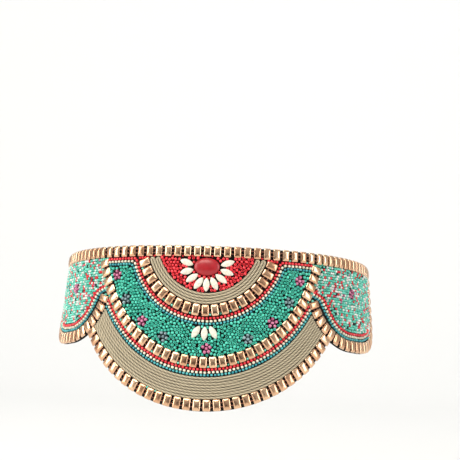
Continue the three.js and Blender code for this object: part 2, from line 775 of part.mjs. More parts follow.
addPiece('red_bead_field', withSockets(redField(), [
  { outline: middleSocket, seat: cabochonSeat },
  ...petalSeats.map((seat) => ({ outline: petalSocket, seat })),
]), 'red');
addPiece('green_bead_field', withSockets(
  greenField(), lowerPetalSeats.map((seat) => ({ outline: petalSocket, seat })),
), 'green');

for (const [name, side] of [['left', -1], ['right', 1]]) {
  addPiece(`side_bead_row_${name}`, sideRow(side), 'gold');
  addPiece(`side_bead_field_${name}`, sideField(side), 'mixed');
  addPiece(`side_bead_lines_${name}`, sideLines(side), 'lines');
  addPiece(`elastic_strap_${name}`, strap(side), 'elastic');
}
addPiece('clasp', clasp(), 'clasp');

export default belt;
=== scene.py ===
# %% [markdown]
# # A beaded waist belt
# A stiff black cloth panel carries gold pillow beads, glass seed beads, twisted cord, a red cabochon
# and white petal beads, and two elastic straps close it behind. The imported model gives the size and
# the place of every part. Here each part gets the surface that the hand and the eye would find on it.

import math

import bmesh
import bpy
import numpy as np
from mathutils import Matrix, Vector


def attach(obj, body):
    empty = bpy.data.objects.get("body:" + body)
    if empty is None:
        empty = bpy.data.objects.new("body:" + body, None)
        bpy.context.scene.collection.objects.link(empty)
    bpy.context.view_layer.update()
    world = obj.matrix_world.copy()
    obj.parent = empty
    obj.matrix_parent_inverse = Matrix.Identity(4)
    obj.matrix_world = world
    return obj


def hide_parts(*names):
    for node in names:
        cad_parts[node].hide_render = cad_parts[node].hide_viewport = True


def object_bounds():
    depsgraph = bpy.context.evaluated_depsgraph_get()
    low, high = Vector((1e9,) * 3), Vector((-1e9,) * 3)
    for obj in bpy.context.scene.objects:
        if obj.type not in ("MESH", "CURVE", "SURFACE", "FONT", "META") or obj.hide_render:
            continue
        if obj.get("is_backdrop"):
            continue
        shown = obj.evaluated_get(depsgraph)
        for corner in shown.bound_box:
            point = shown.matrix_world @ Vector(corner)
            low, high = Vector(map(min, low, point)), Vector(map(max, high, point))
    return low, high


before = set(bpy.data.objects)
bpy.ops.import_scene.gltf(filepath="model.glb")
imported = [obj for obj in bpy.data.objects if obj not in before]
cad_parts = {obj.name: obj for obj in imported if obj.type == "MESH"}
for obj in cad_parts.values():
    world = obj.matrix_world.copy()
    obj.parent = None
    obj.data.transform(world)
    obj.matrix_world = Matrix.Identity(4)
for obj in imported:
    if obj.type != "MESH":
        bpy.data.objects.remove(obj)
model_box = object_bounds()
size = [round(1000 * (high - low)) for low, high in zip(*model_box)]
print("the packed model has", len(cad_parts), "solids and measures", size, "mm")

# %% [markdown]
# ## A flat plan, wrapped round the waist
# Such a belt is embroidered flat and bent round the waist afterwards. So each bead gets its place on
# a flat plan, in millimetres: u runs along the belt from the middle of the front, v runs up from the
# upper row of gold beads, and lift stands off the cloth. Modelling straight on the bent cloth would
# also work, but then no spacing could be measured with a plain ruler. The waist widens downward like
# a cone, and a cone unrolls without stretch, so the lengths on the plan stay true on the belt.

# %% Unroll the cone
MM = 0.001
WAIST_HALF_WIDTH, FRONT_DEPTH, BACK_DEPTH = 123.0, 115.0, 78.0
CONE_TIP = np.array([0.0, 0.0, 1200.0])


def waist_point(turn):
    depth = np.where(turn < math.pi / 2, FRONT_DEPTH, BACK_DEPTH)
    return np.stack([WAIST_HALF_WIDTH * np.sin(turn), -depth * np.cos(turn), 0 * turn], -1)


turns = np.linspace(0, 1.15 * math.pi, 1201)
reaches = np.linalg.norm(waist_point(turns) - CONE_TIP, axis=1)
steps = np.linalg.norm(np.diff(waist_point(turns), axis=0), axis=1)
across = np.sqrt(steps**2 - np.diff(reaches) ** 2)
swings = np.concatenate([[0], np.cumsum(2 * across / (reaches[1:] + reaches[:-1]))])
FRONT_REACH = reaches[0]
BACK_SWING = np.interp(math.pi, turns, swings)
print("the way round the waist is", round(2 * BACK_SWING * FRONT_REACH), "mm")

# %% Bend the plan


def cone_frame(swing, reach, lift):
    """Place in mm and outward direction for a swing about the tip and a reach from it."""
    swing, reach, lift = np.broadcast_arrays(swing, reach, lift)
    side = np.where(swing < 0, -1.0, 1.0)
    turn = np.interp(np.abs(swing), swings, turns)
    foot = waist_point(turn)
    depth = np.where(turn < math.pi / 2, FRONT_DEPTH, BACK_DEPTH)
    along = np.stack([WAIST_HALF_WIDTH * np.cos(turn), depth * np.sin(turn), 0 * turn], -1)
    to_tip = CONE_TIP - foot
    own_reach = np.linalg.norm(to_tip, axis=-1)
    out = np.cross(along, to_tip)
    out /= np.linalg.norm(out, axis=-1)[..., None]
    place = CONE_TIP - to_tip * (reach / own_reach)[..., None] + out * lift[..., None]
    place[..., 0] *= side
    out[..., 0] *= side
    return place, out


def wrap(u, v, lift=0.0):
    """Place in mm of a point of the flat plan, and the way out of the cloth there."""
    return cone_frame(np.arctan2(u, FRONT_REACH - v), np.hypot(u, FRONT_REACH - v), lift)


def seats(u, v, angle, lift):
    """Places and axes (along, across, out) for things laid on the cloth at an angle on the plan."""
    u, v, angle, lift = (np.asarray(a, float) for a in np.broadcast_arrays(u, v, angle, lift))
    place, out = wrap(u, v, lift)
    ahead, _ = wrap(u + 0.5 * np.cos(angle), v + 0.5 * np.sin(angle), lift)
    along = ahead - place
    along -= (along * out).sum(-1)[..., None] * out
    along /= np.linalg.norm(along, axis=-1)[..., None]
    return place, np.stack([along, np.cross(out, along), out], -1)


print("the lowest front edge lies", round(wrap(0, -128)[0][2]), "mm below the upper beads")

# %% [markdown]
# ## Meshes from arrays
# A few thousand small beads are too many for one object each. One shape is modelled once, and numpy
# sets its copies into one mesh for each part. Instances or particles would be lighter, but a joined
# mesh keeps its own colour values for each bead and goes out to any other program as it is.

# %% Build a piece from arrays


def joined(parts):
    """Joins (points, faces) parts into one pair. Faces are lists of arrays of equal corner counts."""
    points, faces, first = [], [], 0
    for some_points, some_faces in parts:
        points.append(some_points)
        faces += [array + first for array in some_faces]
        first += len(some_points)
    return np.concatenate(points), faces


def make_piece(name, points, faces, finishes, nodes=(), face_finish=None, values=None):
    """A smooth piece from points in mm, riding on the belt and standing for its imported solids."""
    mesh = bpy.data.meshes.new(name)
    sizes = np.concatenate([np.full(len(array), array.shape[1]) for array in faces])
    corners = np.concatenate([array.ravel() for array in faces]).astype(np.int32)
    mesh.vertices.add(len(points))
    mesh.vertices.foreach_set("co", (points * MM).astype(np.float32).ravel())
    mesh.loops.add(len(corners))
    mesh.loops.foreach_set("vertex_index", corners)
    mesh.polygons.add(len(sizes))
    starts = np.concatenate([[0], np.cumsum(sizes)[:-1]]).astype(np.int32)
    mesh.polygons.foreach_set("loop_start", starts)
    mesh.update(calc_edges=True)
    mesh.polygons.foreach_set("use_smooth", np.ones(len(sizes), bool))
    for finish in finishes:
        mesh.materials.append(finish)
    if face_finish is not None:
        mesh.polygons.foreach_set("material_index", np.asarray(face_finish, np.int32))
    for key, value in (values or {}).items():
        value = np.asarray(value, np.float32)
        kind = "FLOAT" if value.ndim == 1 else "FLOAT_VECTOR"
        field = "value" if value.ndim == 1 else "vector"
        mesh.attributes.new(key, kind, "POINT").data.foreach_set(field, value.ravel())
    piece = bpy.data.objects.new(name, mesh)
    bpy.context.scene.collection.objects.link(piece)
    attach(piece, "root")
    if nodes:
        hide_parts(*nodes)
    print(name, "has", len(points), "points and", int((sizes - 2).sum()), "triangles")
    return piece


def set_copies(shape, places, axes, stretch):
    """Copies a shape to each seat, stretched by (n, 3) factors along the seat's own axes."""
    points, faces = shape
    stretch = np.broadcast_to(np.asarray(stretch, float), (len(places), 3))
    moved = np.einsum("nij,nvj->nvi", axes, points[None] * stretch[:, None, :]) + places[:, None]
    first = len(points) * np.arange(len(places))[:, None, None]
    return moved.reshape(-1, 3), [(array[None] + first).reshape(-1, array.shape[1]) for array in faces]


# %% [markdown]
# ## Finishes
# Each finish is a small node tree that starts from the real material: what it is made of and how its
# surface was made. Colours are read as sRGB hex values, as a colour picker gives them, and turned to
# the linear values that the shader works in.

# %% Helpers for the finishes


def colour(hex_value):
    """sRGB hex to linear RGBA."""
    parts = [int(hex_value[i : i + 2], 16) / 255 for i in (1, 3, 5)]
    return [c / 12.92 if c <= 0.04045 else ((c + 0.055) / 1.055) ** 2.4 for c in parts] + [1.0]


def add_node(finish, kind, settings=None, inputs=None):
    """Adds a node, with settings by name and inputs by name or number, as values or as outputs."""
    node = finish.node_tree.nodes.new(kind)
    for key, value in (settings or {}).items():
        setattr(node, key, value)
    for key, value in (inputs or {}).items():
        if isinstance(value, bpy.types.NodeSocket):
            finish.node_tree.links.new(value, node.inputs[key])
        else:
            node.inputs[key].default_value = value
    return node


def new_finish(name):
    """An empty finish, with its shader and its output."""
    finish = bpy.data.materials.new(name)
    finish.use_nodes = True
    return finish, finish.node_tree.nodes["Principled BSDF"]


# %% [markdown]
# ### Gold plating
# The pillow beads are light moulded beads with a thin plating of warm, slightly rosy gold. Plating
# is a true metal to the eye: it has no colour of its own but the tint that it gives to reflections,
# so the shader is fully metallic with the tint as its base colour. The dip leaves each bead a little
# lighter or redder. The edges are painted paler in patches: partly handling wear, partly a painted
# rim highlight.

# %% Gold plating
gold_plating, shader = new_finish("gold_plating")
tone = add_node(gold_plating, "ShaderNodeAttribute", {"attribute_name": "tone"})
edge_wear_and_highlight = add_node(gold_plating, "ShaderNodeAttribute", {"attribute_name": "edge"})
place = add_node(gold_plating, "ShaderNodeTexCoord")
tint = add_node(gold_plating, "ShaderNodeMix", {"data_type": "RGBA"}, {
    "Factor": tone.outputs["Fac"], 6: colour("#D4A07A"), 7: colour("#ECC49F")})
# Handling marks are some 1.5 mm across.
marks = add_node(gold_plating, "ShaderNodeTexNoise", None, {
    "Vector": place.outputs["Object"], "Scale": 1 / (1.5 * MM), "Detail": 3.0})
# Painted rim highlight and wear: the edge value, broken up by the handling marks, pales the gold towards
# the rim.
wear_and_highlight = add_node(gold_plating, "ShaderNodeMath", {"operation": "MULTIPLY"}, {
    0: edge_wear_and_highlight.outputs["Fac"], 1: marks.outputs["Fac"]})
worn_and_highlit = add_node(gold_plating, "ShaderNodeMix", {"data_type": "RGBA"}, {
    "Factor": wear_and_highlight.outputs[0], 6: tint.outputs[2], 7: colour("#F2D6BA")})
rough = add_node(gold_plating, "ShaderNodeMapRange", None, {
    "Value": marks.outputs["Fac"], "To Min": 0.17, "To Max": 0.30})
dents = add_node(gold_plating, "ShaderNodeTexNoise", None, {
    "Vector": place.outputs["Object"], "Scale": 1 / (2.6 * MM), "Detail": 1.0})
dented = add_node(gold_plating, "ShaderNodeBump", None, {
    "Height": dents.outputs["Fac"], "Strength": 0.22, "Distance": 0.2 * MM})
gold_plating.node_tree.links.new(worn_and_highlit.outputs[2], shader.inputs["Base Color"])
gold_plating.node_tree.links.new(rough.outputs[0], shader.inputs["Roughness"])
gold_plating.node_tree.links.new(dented.outputs[0], shader.inputs["Normal"])
shader.inputs["Metallic"].default_value = 1.0
print("finish:", gold_plating.name)

# %% [markdown]
# ### Glass
# Seed beads are cut from a drawn glass tube and tumbled over a fire, which rounds their ends and
# leaves a wet gloss. Opaque glass has its colour all through, an IOR near 1.52 and a low roughness.
# No two are quite alike, so each bead's tone moves its colour between a darker and a lighter one.

# %% Glass finishes


def glass(name, darker, lighter, roughness=0.16, coat=0.0):
    finish, shader = new_finish(name)
    tone = add_node(finish, "ShaderNodeAttribute", {"attribute_name": "tone"})
    place = add_node(finish, "ShaderNodeTexCoord")
    # Streaks in the glass, about 1 mm long.
    streaks = add_node(finish, "ShaderNodeTexNoise", None, {
        "Vector": place.outputs["Object"], "Scale": 1 / (1.0 * MM), "Detail": 2.0})
    mixed = add_node(finish, "ShaderNodeMath", {"operation": "MULTIPLY_ADD"}, {
        0: streaks.outputs["Fac"], 1: 0.3, 2: tone.outputs["Fac"]})
    shade = add_node(finish, "ShaderNodeMix", {"data_type": "RGBA"}, {
        "Factor": mixed.outputs[0], 6: colour(darker), 7: colour(lighter)})
    gloss = add_node(finish, "ShaderNodeMapRange", None, {
        "Value": streaks.outputs["Fac"], "To Min": 0.8 * roughness, "To Max": 1.4 * roughness})
    finish.node_tree.links.new(shade.outputs[2], shader.inputs["Base Color"])
    finish.node_tree.links.new(gloss.outputs[0], shader.inputs["Roughness"])
    shader.inputs["IOR"].default_value = 1.52
    shader.inputs["Coat Weight"].default_value = coat
    shader.inputs["Coat Roughness"].default_value = 0.08
    return finish


red_glass = glass("opaque_red_glass", "#CE1F2A", "#F8434C")
turquoise_glass = glass("opaque_turquoise_glass", "#1E9F88", "#5AD8BE")
teal_glass = glass("opaque_teal_glass", "#28899A", "#58BEC0")
cream_glass = glass("opaque_cream_glass", "#DCD2B0", "#F6F0DA", 0.22)
white_glass = glass("opaque_white_glass", "#D5DAD4", "#F4F5EE", 0.18)
black_glass = glass("opaque_black_glass", "#0B0C0D", "#1A1B1D", 0.12)
# Pearl glass has a thin lustre over it, which reads as a bright second gloss.
turquoise_bright = glass("bright_turquoise_glass", "#35AC94", "#84E6D0")
pink_pearl = glass("pearl_pink_glass", "#98315F", "#D4789F", 0.15, 1.0)
grey_pearl = glass("pearl_grey_blue_glass", "#35545A", "#86A3A8", 0.12, 1.0)
print("finishes: nine colours of glass")

# %% [markdown]
# ### Cord, stones, cloth and thread
# The cord is twisted from two soft beige yarns: matt, with a faint sheen from loose fibres. The oval
# stone is dyed red and rubbed to a satin. The petal beads are white howlite, a chalky stone with
# faint beige veins, polished. The panel's cloth is black and closely woven, and the threads are brown.

# %% Twisted yarn
twisted_yarn, shader = new_finish("twisted_cotton_yarn")
fibre = add_node(twisted_yarn, "ShaderNodeAttribute", {"attribute_name": "fibre"})
tone = add_node(twisted_yarn, "ShaderNodeAttribute", {"attribute_name": "tone"})
groove_shade = add_node(twisted_yarn, "ShaderNodeAttribute", {"attribute_name": "groove_shade"})
# Real fibres are 0.02 mm wide. They are drawn about 0.2 mm wide, so that they show.
strands = add_node(twisted_yarn, "ShaderNodeTexNoise", None, {
    "Vector": fibre.outputs["Vector"], "Scale": 5.0, "Detail": 3.0, "Roughness": 0.6})
shade = add_node(twisted_yarn, "ShaderNodeMix", {"data_type": "RGBA"}, {
    "Factor": strands.outputs["Fac"], 6: colour("#AA9C7F"), 7: colour("#DDD0B2")})
toned = add_node(twisted_yarn, "ShaderNodeMix", {"data_type": "RGBA", "blend_type": "MULTIPLY"}, {
    "Factor": 0.5, 6: shade.outputs[2], 7: tone.outputs["Color"]})
# Painted shade: the groove value darkens the hollows between the yarns towards dark brown.
groove_shaded = add_node(twisted_yarn, "ShaderNodeMix", {"data_type": "RGBA"}, {
    "Factor": groove_shade.outputs["Fac"], 6: toned.outputs[2], 7: colour("#4A3F2C")})
raised = add_node(twisted_yarn, "ShaderNodeBump", None, {
    "Height": strands.outputs["Fac"], "Strength": 0.6, "Distance": 0.15 * MM})
twisted_yarn.node_tree.links.new(groove_shaded.outputs[2], shader.inputs["Base Color"])
twisted_yarn.node_tree.links.new(raised.outputs[0], shader.inputs["Normal"])
shader.inputs["Roughness"].default_value = 0.75
shader.inputs["Sheen Weight"].default_value = 0.15

# %% Stones
red_stone, shader = new_finish("satin_dyed_red_stone")
place = add_node(red_stone, "ShaderNodeTexCoord")
# Dye takes in soft clouds about 4 mm wide.
clouds = add_node(red_stone, "ShaderNodeTexNoise", None, {
    "Vector": place.outputs["Object"], "Scale": 1 / (4.0 * MM), "Detail": 4.0})
dye = add_node(red_stone, "ShaderNodeMix", {"data_type": "RGBA"}, {
    "Factor": clouds.outputs["Fac"], 6: colour("#860B15"), 7: colour("#BC1C27")})
rubbed = add_node(red_stone, "ShaderNodeMapRange", None, {
    "Value": clouds.outputs["Fac"], "To Min": 0.27, "To Max": 0.38})
red_stone.node_tree.links.new(dye.outputs[2], shader.inputs["Base Color"])
red_stone.node_tree.links.new(rubbed.outputs[0], shader.inputs["Roughness"])
shader.inputs["IOR"].default_value = 1.55

white_stone, shader = new_finish("polished_white_howlite")
place = add_node(white_stone, "ShaderNodeTexCoord")
tone = add_node(white_stone, "ShaderNodeAttribute", {"attribute_name": "tone"})
# Howlite's veins are fine webs some 3 mm apart.
veins = add_node(white_stone, "ShaderNodeTexVoronoi", {"feature": "DISTANCE_TO_EDGE"}, {
    "Vector": place.outputs["Object"], "Scale": 1 / (3.2 * MM)})
vein_line = add_node(white_stone, "ShaderNodeMapRange", None, {
    "Value": veins.outputs["Distance"], "From Max": 0.09, "To Min": 0.35, "To Max": 0.0})
mottle = add_node(white_stone, "ShaderNodeTexNoise", None, {
    "Vector": place.outputs["Object"], "Scale": 1 / (2.0 * MM), "Detail": 4.0})
chalk = add_node(white_stone, "ShaderNodeMix", {"data_type": "RGBA"}, {
    "Factor": mottle.outputs["Fac"], 6: colour("#D8D4BE"), 7: colour("#F6F4E8")})
veined = add_node(white_stone, "ShaderNodeMix", {"data_type": "RGBA"}, {
    "Factor": vein_line.outputs[0], 6: chalk.outputs[2], 7: colour("#A79E7E")})
pitted = add_node(white_stone, "ShaderNodeBump", None, {
    "Height": mottle.outputs["Fac"], "Strength": 0.15, "Distance": 0.2 * MM})
white_stone.node_tree.links.new(veined.outputs[2], shader.inputs["Base Color"])
white_stone.node_tree.links.new(pitted.outputs[0], shader.inputs["Normal"])
shader.inputs["Roughness"].default_value = 0.28
shader.inputs["IOR"].default_value = 1.59
print("finishes:", twisted_yarn.name, red_stone.name, white_stone.name)

# %% Cloth, elastic, moulding and thread


def woven(name, darker, lighter, thread_gap, relief, roughness):
    """A plain weave over the plan coordinates in mm that the piece carries."""
    finish, shader = new_finish(name)
    plan = add_node(finish, "ShaderNodeAttribute", {"attribute_name": "plan"})
    waves = [
        add_node(finish, "ShaderNodeTexWave", {"wave_type": "BANDS", "bands_direction": way}, {
            "Vector": plan.outputs["Vector"], "Scale": 0.314 / thread_gap, "Distortion": 0.6,
            "Detail": 1.0, "Detail Scale": 2.0})
        for way in ("X", "Y")
    ]
    weave = add_node(finish, "ShaderNodeMath", {"operation": "MULTIPLY"}, {
        0: waves[0].outputs["Fac"], 1: waves[1].outputs["Fac"]})
    fuzz = add_node(finish, "ShaderNodeTexNoise", None, {
        "Vector": plan.outputs["Vector"], "Scale": 1.2, "Detail": 4.0})
    height = add_node(finish, "ShaderNodeMath", {"operation": "MULTIPLY_ADD"}, {
        0: fuzz.outputs["Fac"], 1: 0.5, 2: weave.outputs[0]})
    shade = add_node(finish, "ShaderNodeMix", {"data_type": "RGBA"}, {
        "Factor": height.outputs[0], 6: colour(darker), 7: colour(lighter)})
    raised = add_node(finish, "ShaderNodeBump", None, {
        "Height": height.outputs[0], "Strength": 0.7, "Distance": relief * MM})
    finish.node_tree.links.new(shade.outputs[2], shader.inputs["Base Color"])
    finish.node_tree.links.new(raised.outputs[0], shader.inputs["Normal"])
    shader.inputs["Roughness"].default_value = roughness
    shader.inputs["Sheen Weight"].default_value = 0.03
    return finish


# Threads of the cloth lie 0.5 mm apart, and the elastic's cross threads 0.9 mm.
black_cloth = woven("woven_black_cloth", "#060505", "#171413", 0.5, 0.12, 0.92)
elastic_cloth = woven("woven_black_elastic", "#100F10", "#2B292A", 0.9, 0.15, 0.8)


def thread(name, hex_value, roughness):
    """A strand too thin for a pattern in the picture: its twist is drawn as a fine bump."""
    finish, shader = new_finish(name)
    place = add_node(finish, "ShaderNodeTexCoord")
    twist = add_node(finish, "ShaderNodeTexNoise", None, {
        "Vector": place.outputs["Object"], "Scale": 1 / (0.5 * MM), "Detail": 2.0})
    shade = add_node(finish, "ShaderNodeMix", {"data_type": "RGBA", "blend_type": "MULTIPLY"}, {
        "Factor": 0.5, 6: colour(hex_value), 7: twist.outputs["Color"]})
    raised = add_node(finish, "ShaderNodeBump", None, {
        "Height": twist.outputs["Fac"], "Strength": 0.5, "Distance": 0.1 * MM})
    finish.node_tree.links.new(shade.outputs[2], shader.inputs["Base Color"])
    finish.node_tree.links.new(raised.outputs[0], shader.inputs["Normal"])
    shader.inputs["Roughness"].default_value = roughness
    return finish


brown_thread = thread("waxed_brown_thread", "#8E5846", 0.45)
black_thread = thread("black_sewing_thread", "#1D1B1B", 0.6)

# Moulded nylon: dark grey, satin, with the fine grain that a spark-eroded mould leaves.
moulding, shader = new_finish("moulded_black_nylon")
place = add_node(moulding, "ShaderNodeTexCoord")
grain = add_node(moulding, "ShaderNodeTexNoise", None, {
    "Vector": place.outputs["Object"], "Scale": 1 / (0.6 * MM), "Detail": 3.0})
shade = add_node(moulding, "ShaderNodeMix", {"data_type": "RGBA"}, {
    "Factor": grain.outputs["Fac"], 6: colour("#161617"), 7: colour("#262628")})
pebbled = add_node(moulding, "ShaderNodeBump", None, {
    "Height": grain.outputs["Fac"], "Strength": 0.35, "Distance": 0.08 * MM})
moulding.node_tree.links.new(shade.outputs[2], shader.inputs["Base Color"])
moulding.node_tree.links.new(pebbled.outputs[0], shader.inputs["Normal"])
shader.inputs["Roughness"].default_value = 0.45
shader.inputs["IOR"].default_value = 1.53
print("finishes:", black_cloth.name, elastic_cloth.name, brown_thread.name, moulding.name)

# %% [markdown]
# ## The plan's curves
# Three rows of gold beads hang as half ovals from the straight upper row, and a row follows the edge
# of each side panel. Everything else lies beside these curves at a set distance, so each curve is a
# function with an amount to grow by, and the bands and fields are cut from the grown curves.

# %% Sizes on the plan, in mm
BEAD_LENGTH, BEAD_WIDTH, BEAD_HEIGHT = 8.9, 5.9, 3.1
HALF_BEAD, CLEARANCE = BEAD_LENGTH / 2, 0.3
EDGE = HALF_BEAD + CLEARANCE
# Each arc is the height of its centre, its half width and its drop.
INNER_ARC = (13.6, 56.1, 60.9)
MIDDLE_ARC = (34.6, 99.6, 124.0)
OUTER_ARC = (28.9, 132.2, 152.8)
END_ROW_U, SIDE_U, SIDE_V, SIDE_DROP = 192.8, 136.1, -20.1, 47.1
SIDE_INWARD, SIDE_OUTWARD = SIDE_U - MIDDLE_ARC[1] + 11, END_ROW_U - SIDE_U
# Lanes inside a side panel's row leave its curve at the bend and run on straight.
LANE_INSET, LANE_BEND = 4.0, math.radians(-142)
LINE_BAND, LINE_PITCH, INNER_INSET = 6.6, 2.2, 0.9
FIELD_GAP = EDGE + LINE_BAND + 1.5 * CLEARANCE
SIDE_LINE_RISE = 10.0
PANEL_END_U = END_ROW_U + HALF_BEAD + 0.1
INNER_BEAD_GAP, MIDDLE_BEAD_GAP, OUTER_BEAD_GAP, SIDE_BEAD_GAP = 1.66, 1.87, 2.08, 1.4
UPPER_PITCH, PITCH_CHANGE_U = 8.0, 96
UNDER_ROW_V = -(EDGE + BEAD_WIDTH / 2)
ARC_END_V = UNDER_ROW_V - SIDE_BEAD_GAP


def grown(arc, grow):
    return arc[0], arc[1] + grow, arc[2] + grow


def arc_point(arc, angle):
    return np.stack([arc[1] * np.cos(angle), arc[0] + arc[2] * np.sin(angle)], -1)


def arc_u(arc, v):
    return arc[1] * np.sqrt(np.maximum(0, 1 - ((v - arc[0]) / arc[2]) ** 2))


def arc_v(arc, u):
    return arc[0] - arc[2] * np.sqrt(np.maximum(0, 1 - (np.asarray(u) / arc[1]) ** 2))


def arc_angle(arc, v):
    """The angle at which the right half of an arc reaches the height v."""
    return math.asin((v - arc[0]) / arc[2])


def side_reach(rising, grow):
    inward = SIDE_INWARD + grow - (LANE_INSET if grow < 0 else 0)
    return np.where(rising, SIDE_OUTWARD + grow, inward)


def side_point(angle, grow=0.0):
    """A side panel's edge row: rounder towards the middle, squarer towards the end."""
    angle = np.asarray(angle, float)
    rising = angle > -math.pi / 2
    power = np.where(rising, 3.0, 2.0)
    cosine, sine = np.cos(angle), np.sin(angle)
    stretch = (np.abs(cosine) ** power + np.abs(sine) ** power) ** (-1 / power)
    u = SIDE_U + side_reach(rising, grow) * cosine * stretch
    return np.stack([u, SIDE_V + (SIDE_DROP + grow) * sine * stretch], -1)


def side_v(u, grow=0.0):
    u = np.asarray(u, float)
    rising = u > SIDE_U
    power = np.where(rising, 3.0, 2.0)
    share = np.minimum(1, np.abs(u - SIDE_U) / side_reach(rising, grow))
    return SIDE_V - (SIDE_DROP + grow) * (1 - share**power) ** (1 / power)


def lane_tangent(grow):
    """The way in which a lane leaves its curve at the bend."""
    across, drop = side_reach(False, grow), SIDE_DROP + grow
    return np.array([-across * math.sin(LANE_BEND), drop * math.cos(LANE_BEND)])


def lane_v(u, grow):
    """Height of a lane at u: along its curve, and straight on past the bend."""
    bend, tangent = side_point(LANE_BEND, grow), lane_tangent(grow)
    return np.where(u > bend[0], side_v(u, grow), bend[1] + (u - bend[0]) * tangent[1] / tangent[0])


def turning_value(holds, fails, test):
    """The value between two others at which a test turns from true to false."""
    for _ in range(40):
        middle = (holds + fails) / 2
        holds, fails = (middle, fails) if test(middle) else (holds, middle)
    return holds


def side_start(gap):
    """The angle at which a side panel's row comes clear of the middle arc."""

    def clear(angle):
        u, v = side_point(angle)
        return u > arc_u(grown(MIDDLE_ARC, gap), v)

    return turning_value(-math.pi / 2, -math.pi, clear)


def meeting_angle(arc, gap):
    """The angle at which the right half of an arc runs into a side panel's beads."""

    def clear(angle):
        u, v = arc_point(arc, angle)
        return not (u > SIDE_U - SIDE_INWARD - gap and v > side_v(u, gap))

    return turning_value(-math.pi / 2, arc_angle(arc, SIDE_V), clear)


def walk(line, gap):
    """Evenly spaced points along a dense line, about gap apart, with the line's heading there."""
    lengths = np.concatenate([[0], np.cumsum(np.linalg.norm(np.diff(line, axis=0), axis=1))])
    count = max(1, round(lengths[-1] / gap))
    at = np.linspace(0, lengths[-1], count + 1)
    points = np.stack([np.interp(at, lengths, line[:, k]) for k in (0, 1)], -1)
    ahead = np.stack([np.interp(at + 0.3, lengths, line[:, k]) for k in (0, 1)], -1)
    behind = np.stack([np.interp(at - 0.3, lengths, line[:, k]) for k in (0, 1)], -1)
    way = ahead - behind
    return points, np.arctan2(way[:, 1], way[:, 0])


def arc_line(arc, end):
    return arc_point(arc, np.linspace(-math.pi - end, end, 900))


def mirrored(line, side):
    return line * np.array([side, 1.0])


# %% The rows of gold beads on the plan
# The upper row's beads lie 8 mm apart over the medallion and closer over the side panels.
side_us = np.linspace(PITCH_CHANGE_U, END_ROW_U + HALF_BEAD - BEAD_WIDTH / 2, 16)
half_us = np.concatenate([np.arange(0, PITCH_CHANGE_U, UPPER_PITCH), side_us])
upper_us = np.concatenate([-half_us[:0:-1], half_us])
side_start_angle = side_start(HALF_BEAD + BEAD_WIDTH / 2 + SIDE_BEAD_GAP + 3 * CLEARANCE)
side_line = np.concatenate([
    side_point(np.linspace(side_start_angle, 0, 600)),
    np.stack([np.full(60, END_ROW_U), np.linspace(SIDE_V, UNDER_ROW_V, 60)], -1)[1:]])
inner_end, middle_end = (arc_angle(arc, ARC_END_V) for arc in (INNER_ARC, MIDDLE_ARC))
outer_end = meeting_angle(OUTER_ARC, HALF_BEAD + BEAD_WIDTH / 2 + 2 * CLEARANCE)
side_pitch = BEAD_WIDTH + SIDE_BEAD_GAP


def arc_places(arc, end, gap):
    return walk(arc_line(arc, end), BEAD_WIDTH + gap)


def shifted(points, headings, across):
    """Moves a row's beads to the left of its heading."""
    return points + across * np.stack([-np.sin(headings), np.cos(headings)], -1), headings


# Each row has its beads' points and headings, and their width and length. The real beads reach a
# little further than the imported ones.
ROWS = {
    "upper_bead_row": (*shifted(np.stack([upper_us, 0 * upper_us], -1), 0 * upper_us, 0.25),
                       np.where(np.abs(upper_us) < PITCH_CHANGE_U, 6.0, 5.6), 9.3),
    "inner_arc_bead_row": (*shifted(*arc_places(INNER_ARC, inner_end, INNER_BEAD_GAP), -0.3), 6.1, 9.7),
    "middle_arc_bead_row": (*arc_places(MIDDLE_ARC, middle_end, MIDDLE_BEAD_GAP), 6.2, 9.5),
    "outer_arc_bead_row": (*arc_places(OUTER_ARC, outer_end, OUTER_BEAD_GAP), 6.4, 9.8),
    "side_bead_row_left": (*shifted(*walk(mirrored(side_line, -1), side_pitch), 0.2), 6.0, 9.6),
    "side_bead_row_right": (*shifted(*walk(side_line, side_pitch), -0.2), 6.0, 9.6),
}
for name, row in ROWS.items():
    print(name, "takes", len(row[0]), "beads")

# %% [markdown]
# ## Pillow beads
# A pillow bead is a small cushion: nearly square in plan, with rounded corners and a domed face. A
# cube with bevels would keep flat faces, which reflect like mirrors. So a subdivided cube is drawn
# onto a rounded form instead, whose face bends all the way and gathers the light at its sides.

# %% The pillow bead's form


def pillow():
    form = bmesh.new()
    bmesh.ops.create_cube(form, size=2)
    bmesh.ops.subdivide_edges(form, edges=form.edges[:], cuts=6, use_grid_fill=True)
    points = np.array([vertex.co for vertex in form.verts])
    faces = np.array([[vertex.index for vertex in face.verts] for face in form.faces])
    form.free()
    points = np.sign(points) * np.abs(points) ** 0.75
    plan_power, face_power = 9.0, 2.05
    plan = (np.abs(points[:, 0]) ** plan_power + np.abs(points[:, 1]) ** plan_power) ** (
        face_power / plan_power)
    points /= ((plan + np.abs(points[:, 2]) ** face_power) ** (1 / face_power))[:, None]
    return points, [faces]


PILLOW = pillow()
# How near each point lies to the bead's rim. The gold finish pales the rim by it, partly as wear and
# partly as a painted rim highlight.
nearness = np.max(np.abs(PILLOW[0][:, :2]), axis=1)
PILLOW_EDGE_WEAR_AND_HIGHLIGHT = np.clip((nearness - 0.72) / 0.25, 0, 1)
print("one pillow bead has", len(PILLOW[1][0]), "faces")

# %% Tubes for cords and threads
OTHER_WAY_ROUND = [0, 3, 2, 1]


def ring_quads(rings, sides):
    """The quads between neighbouring rings of points."""
    ring = np.arange(sides)
    first = sides * np.arange(rings - 1)[:, None]
    return np.stack([first + ring, first + (ring + 1) % sides, first + sides + (ring + 1) % sides,
                     first + sides + ring], -1).reshape(-1, 4)


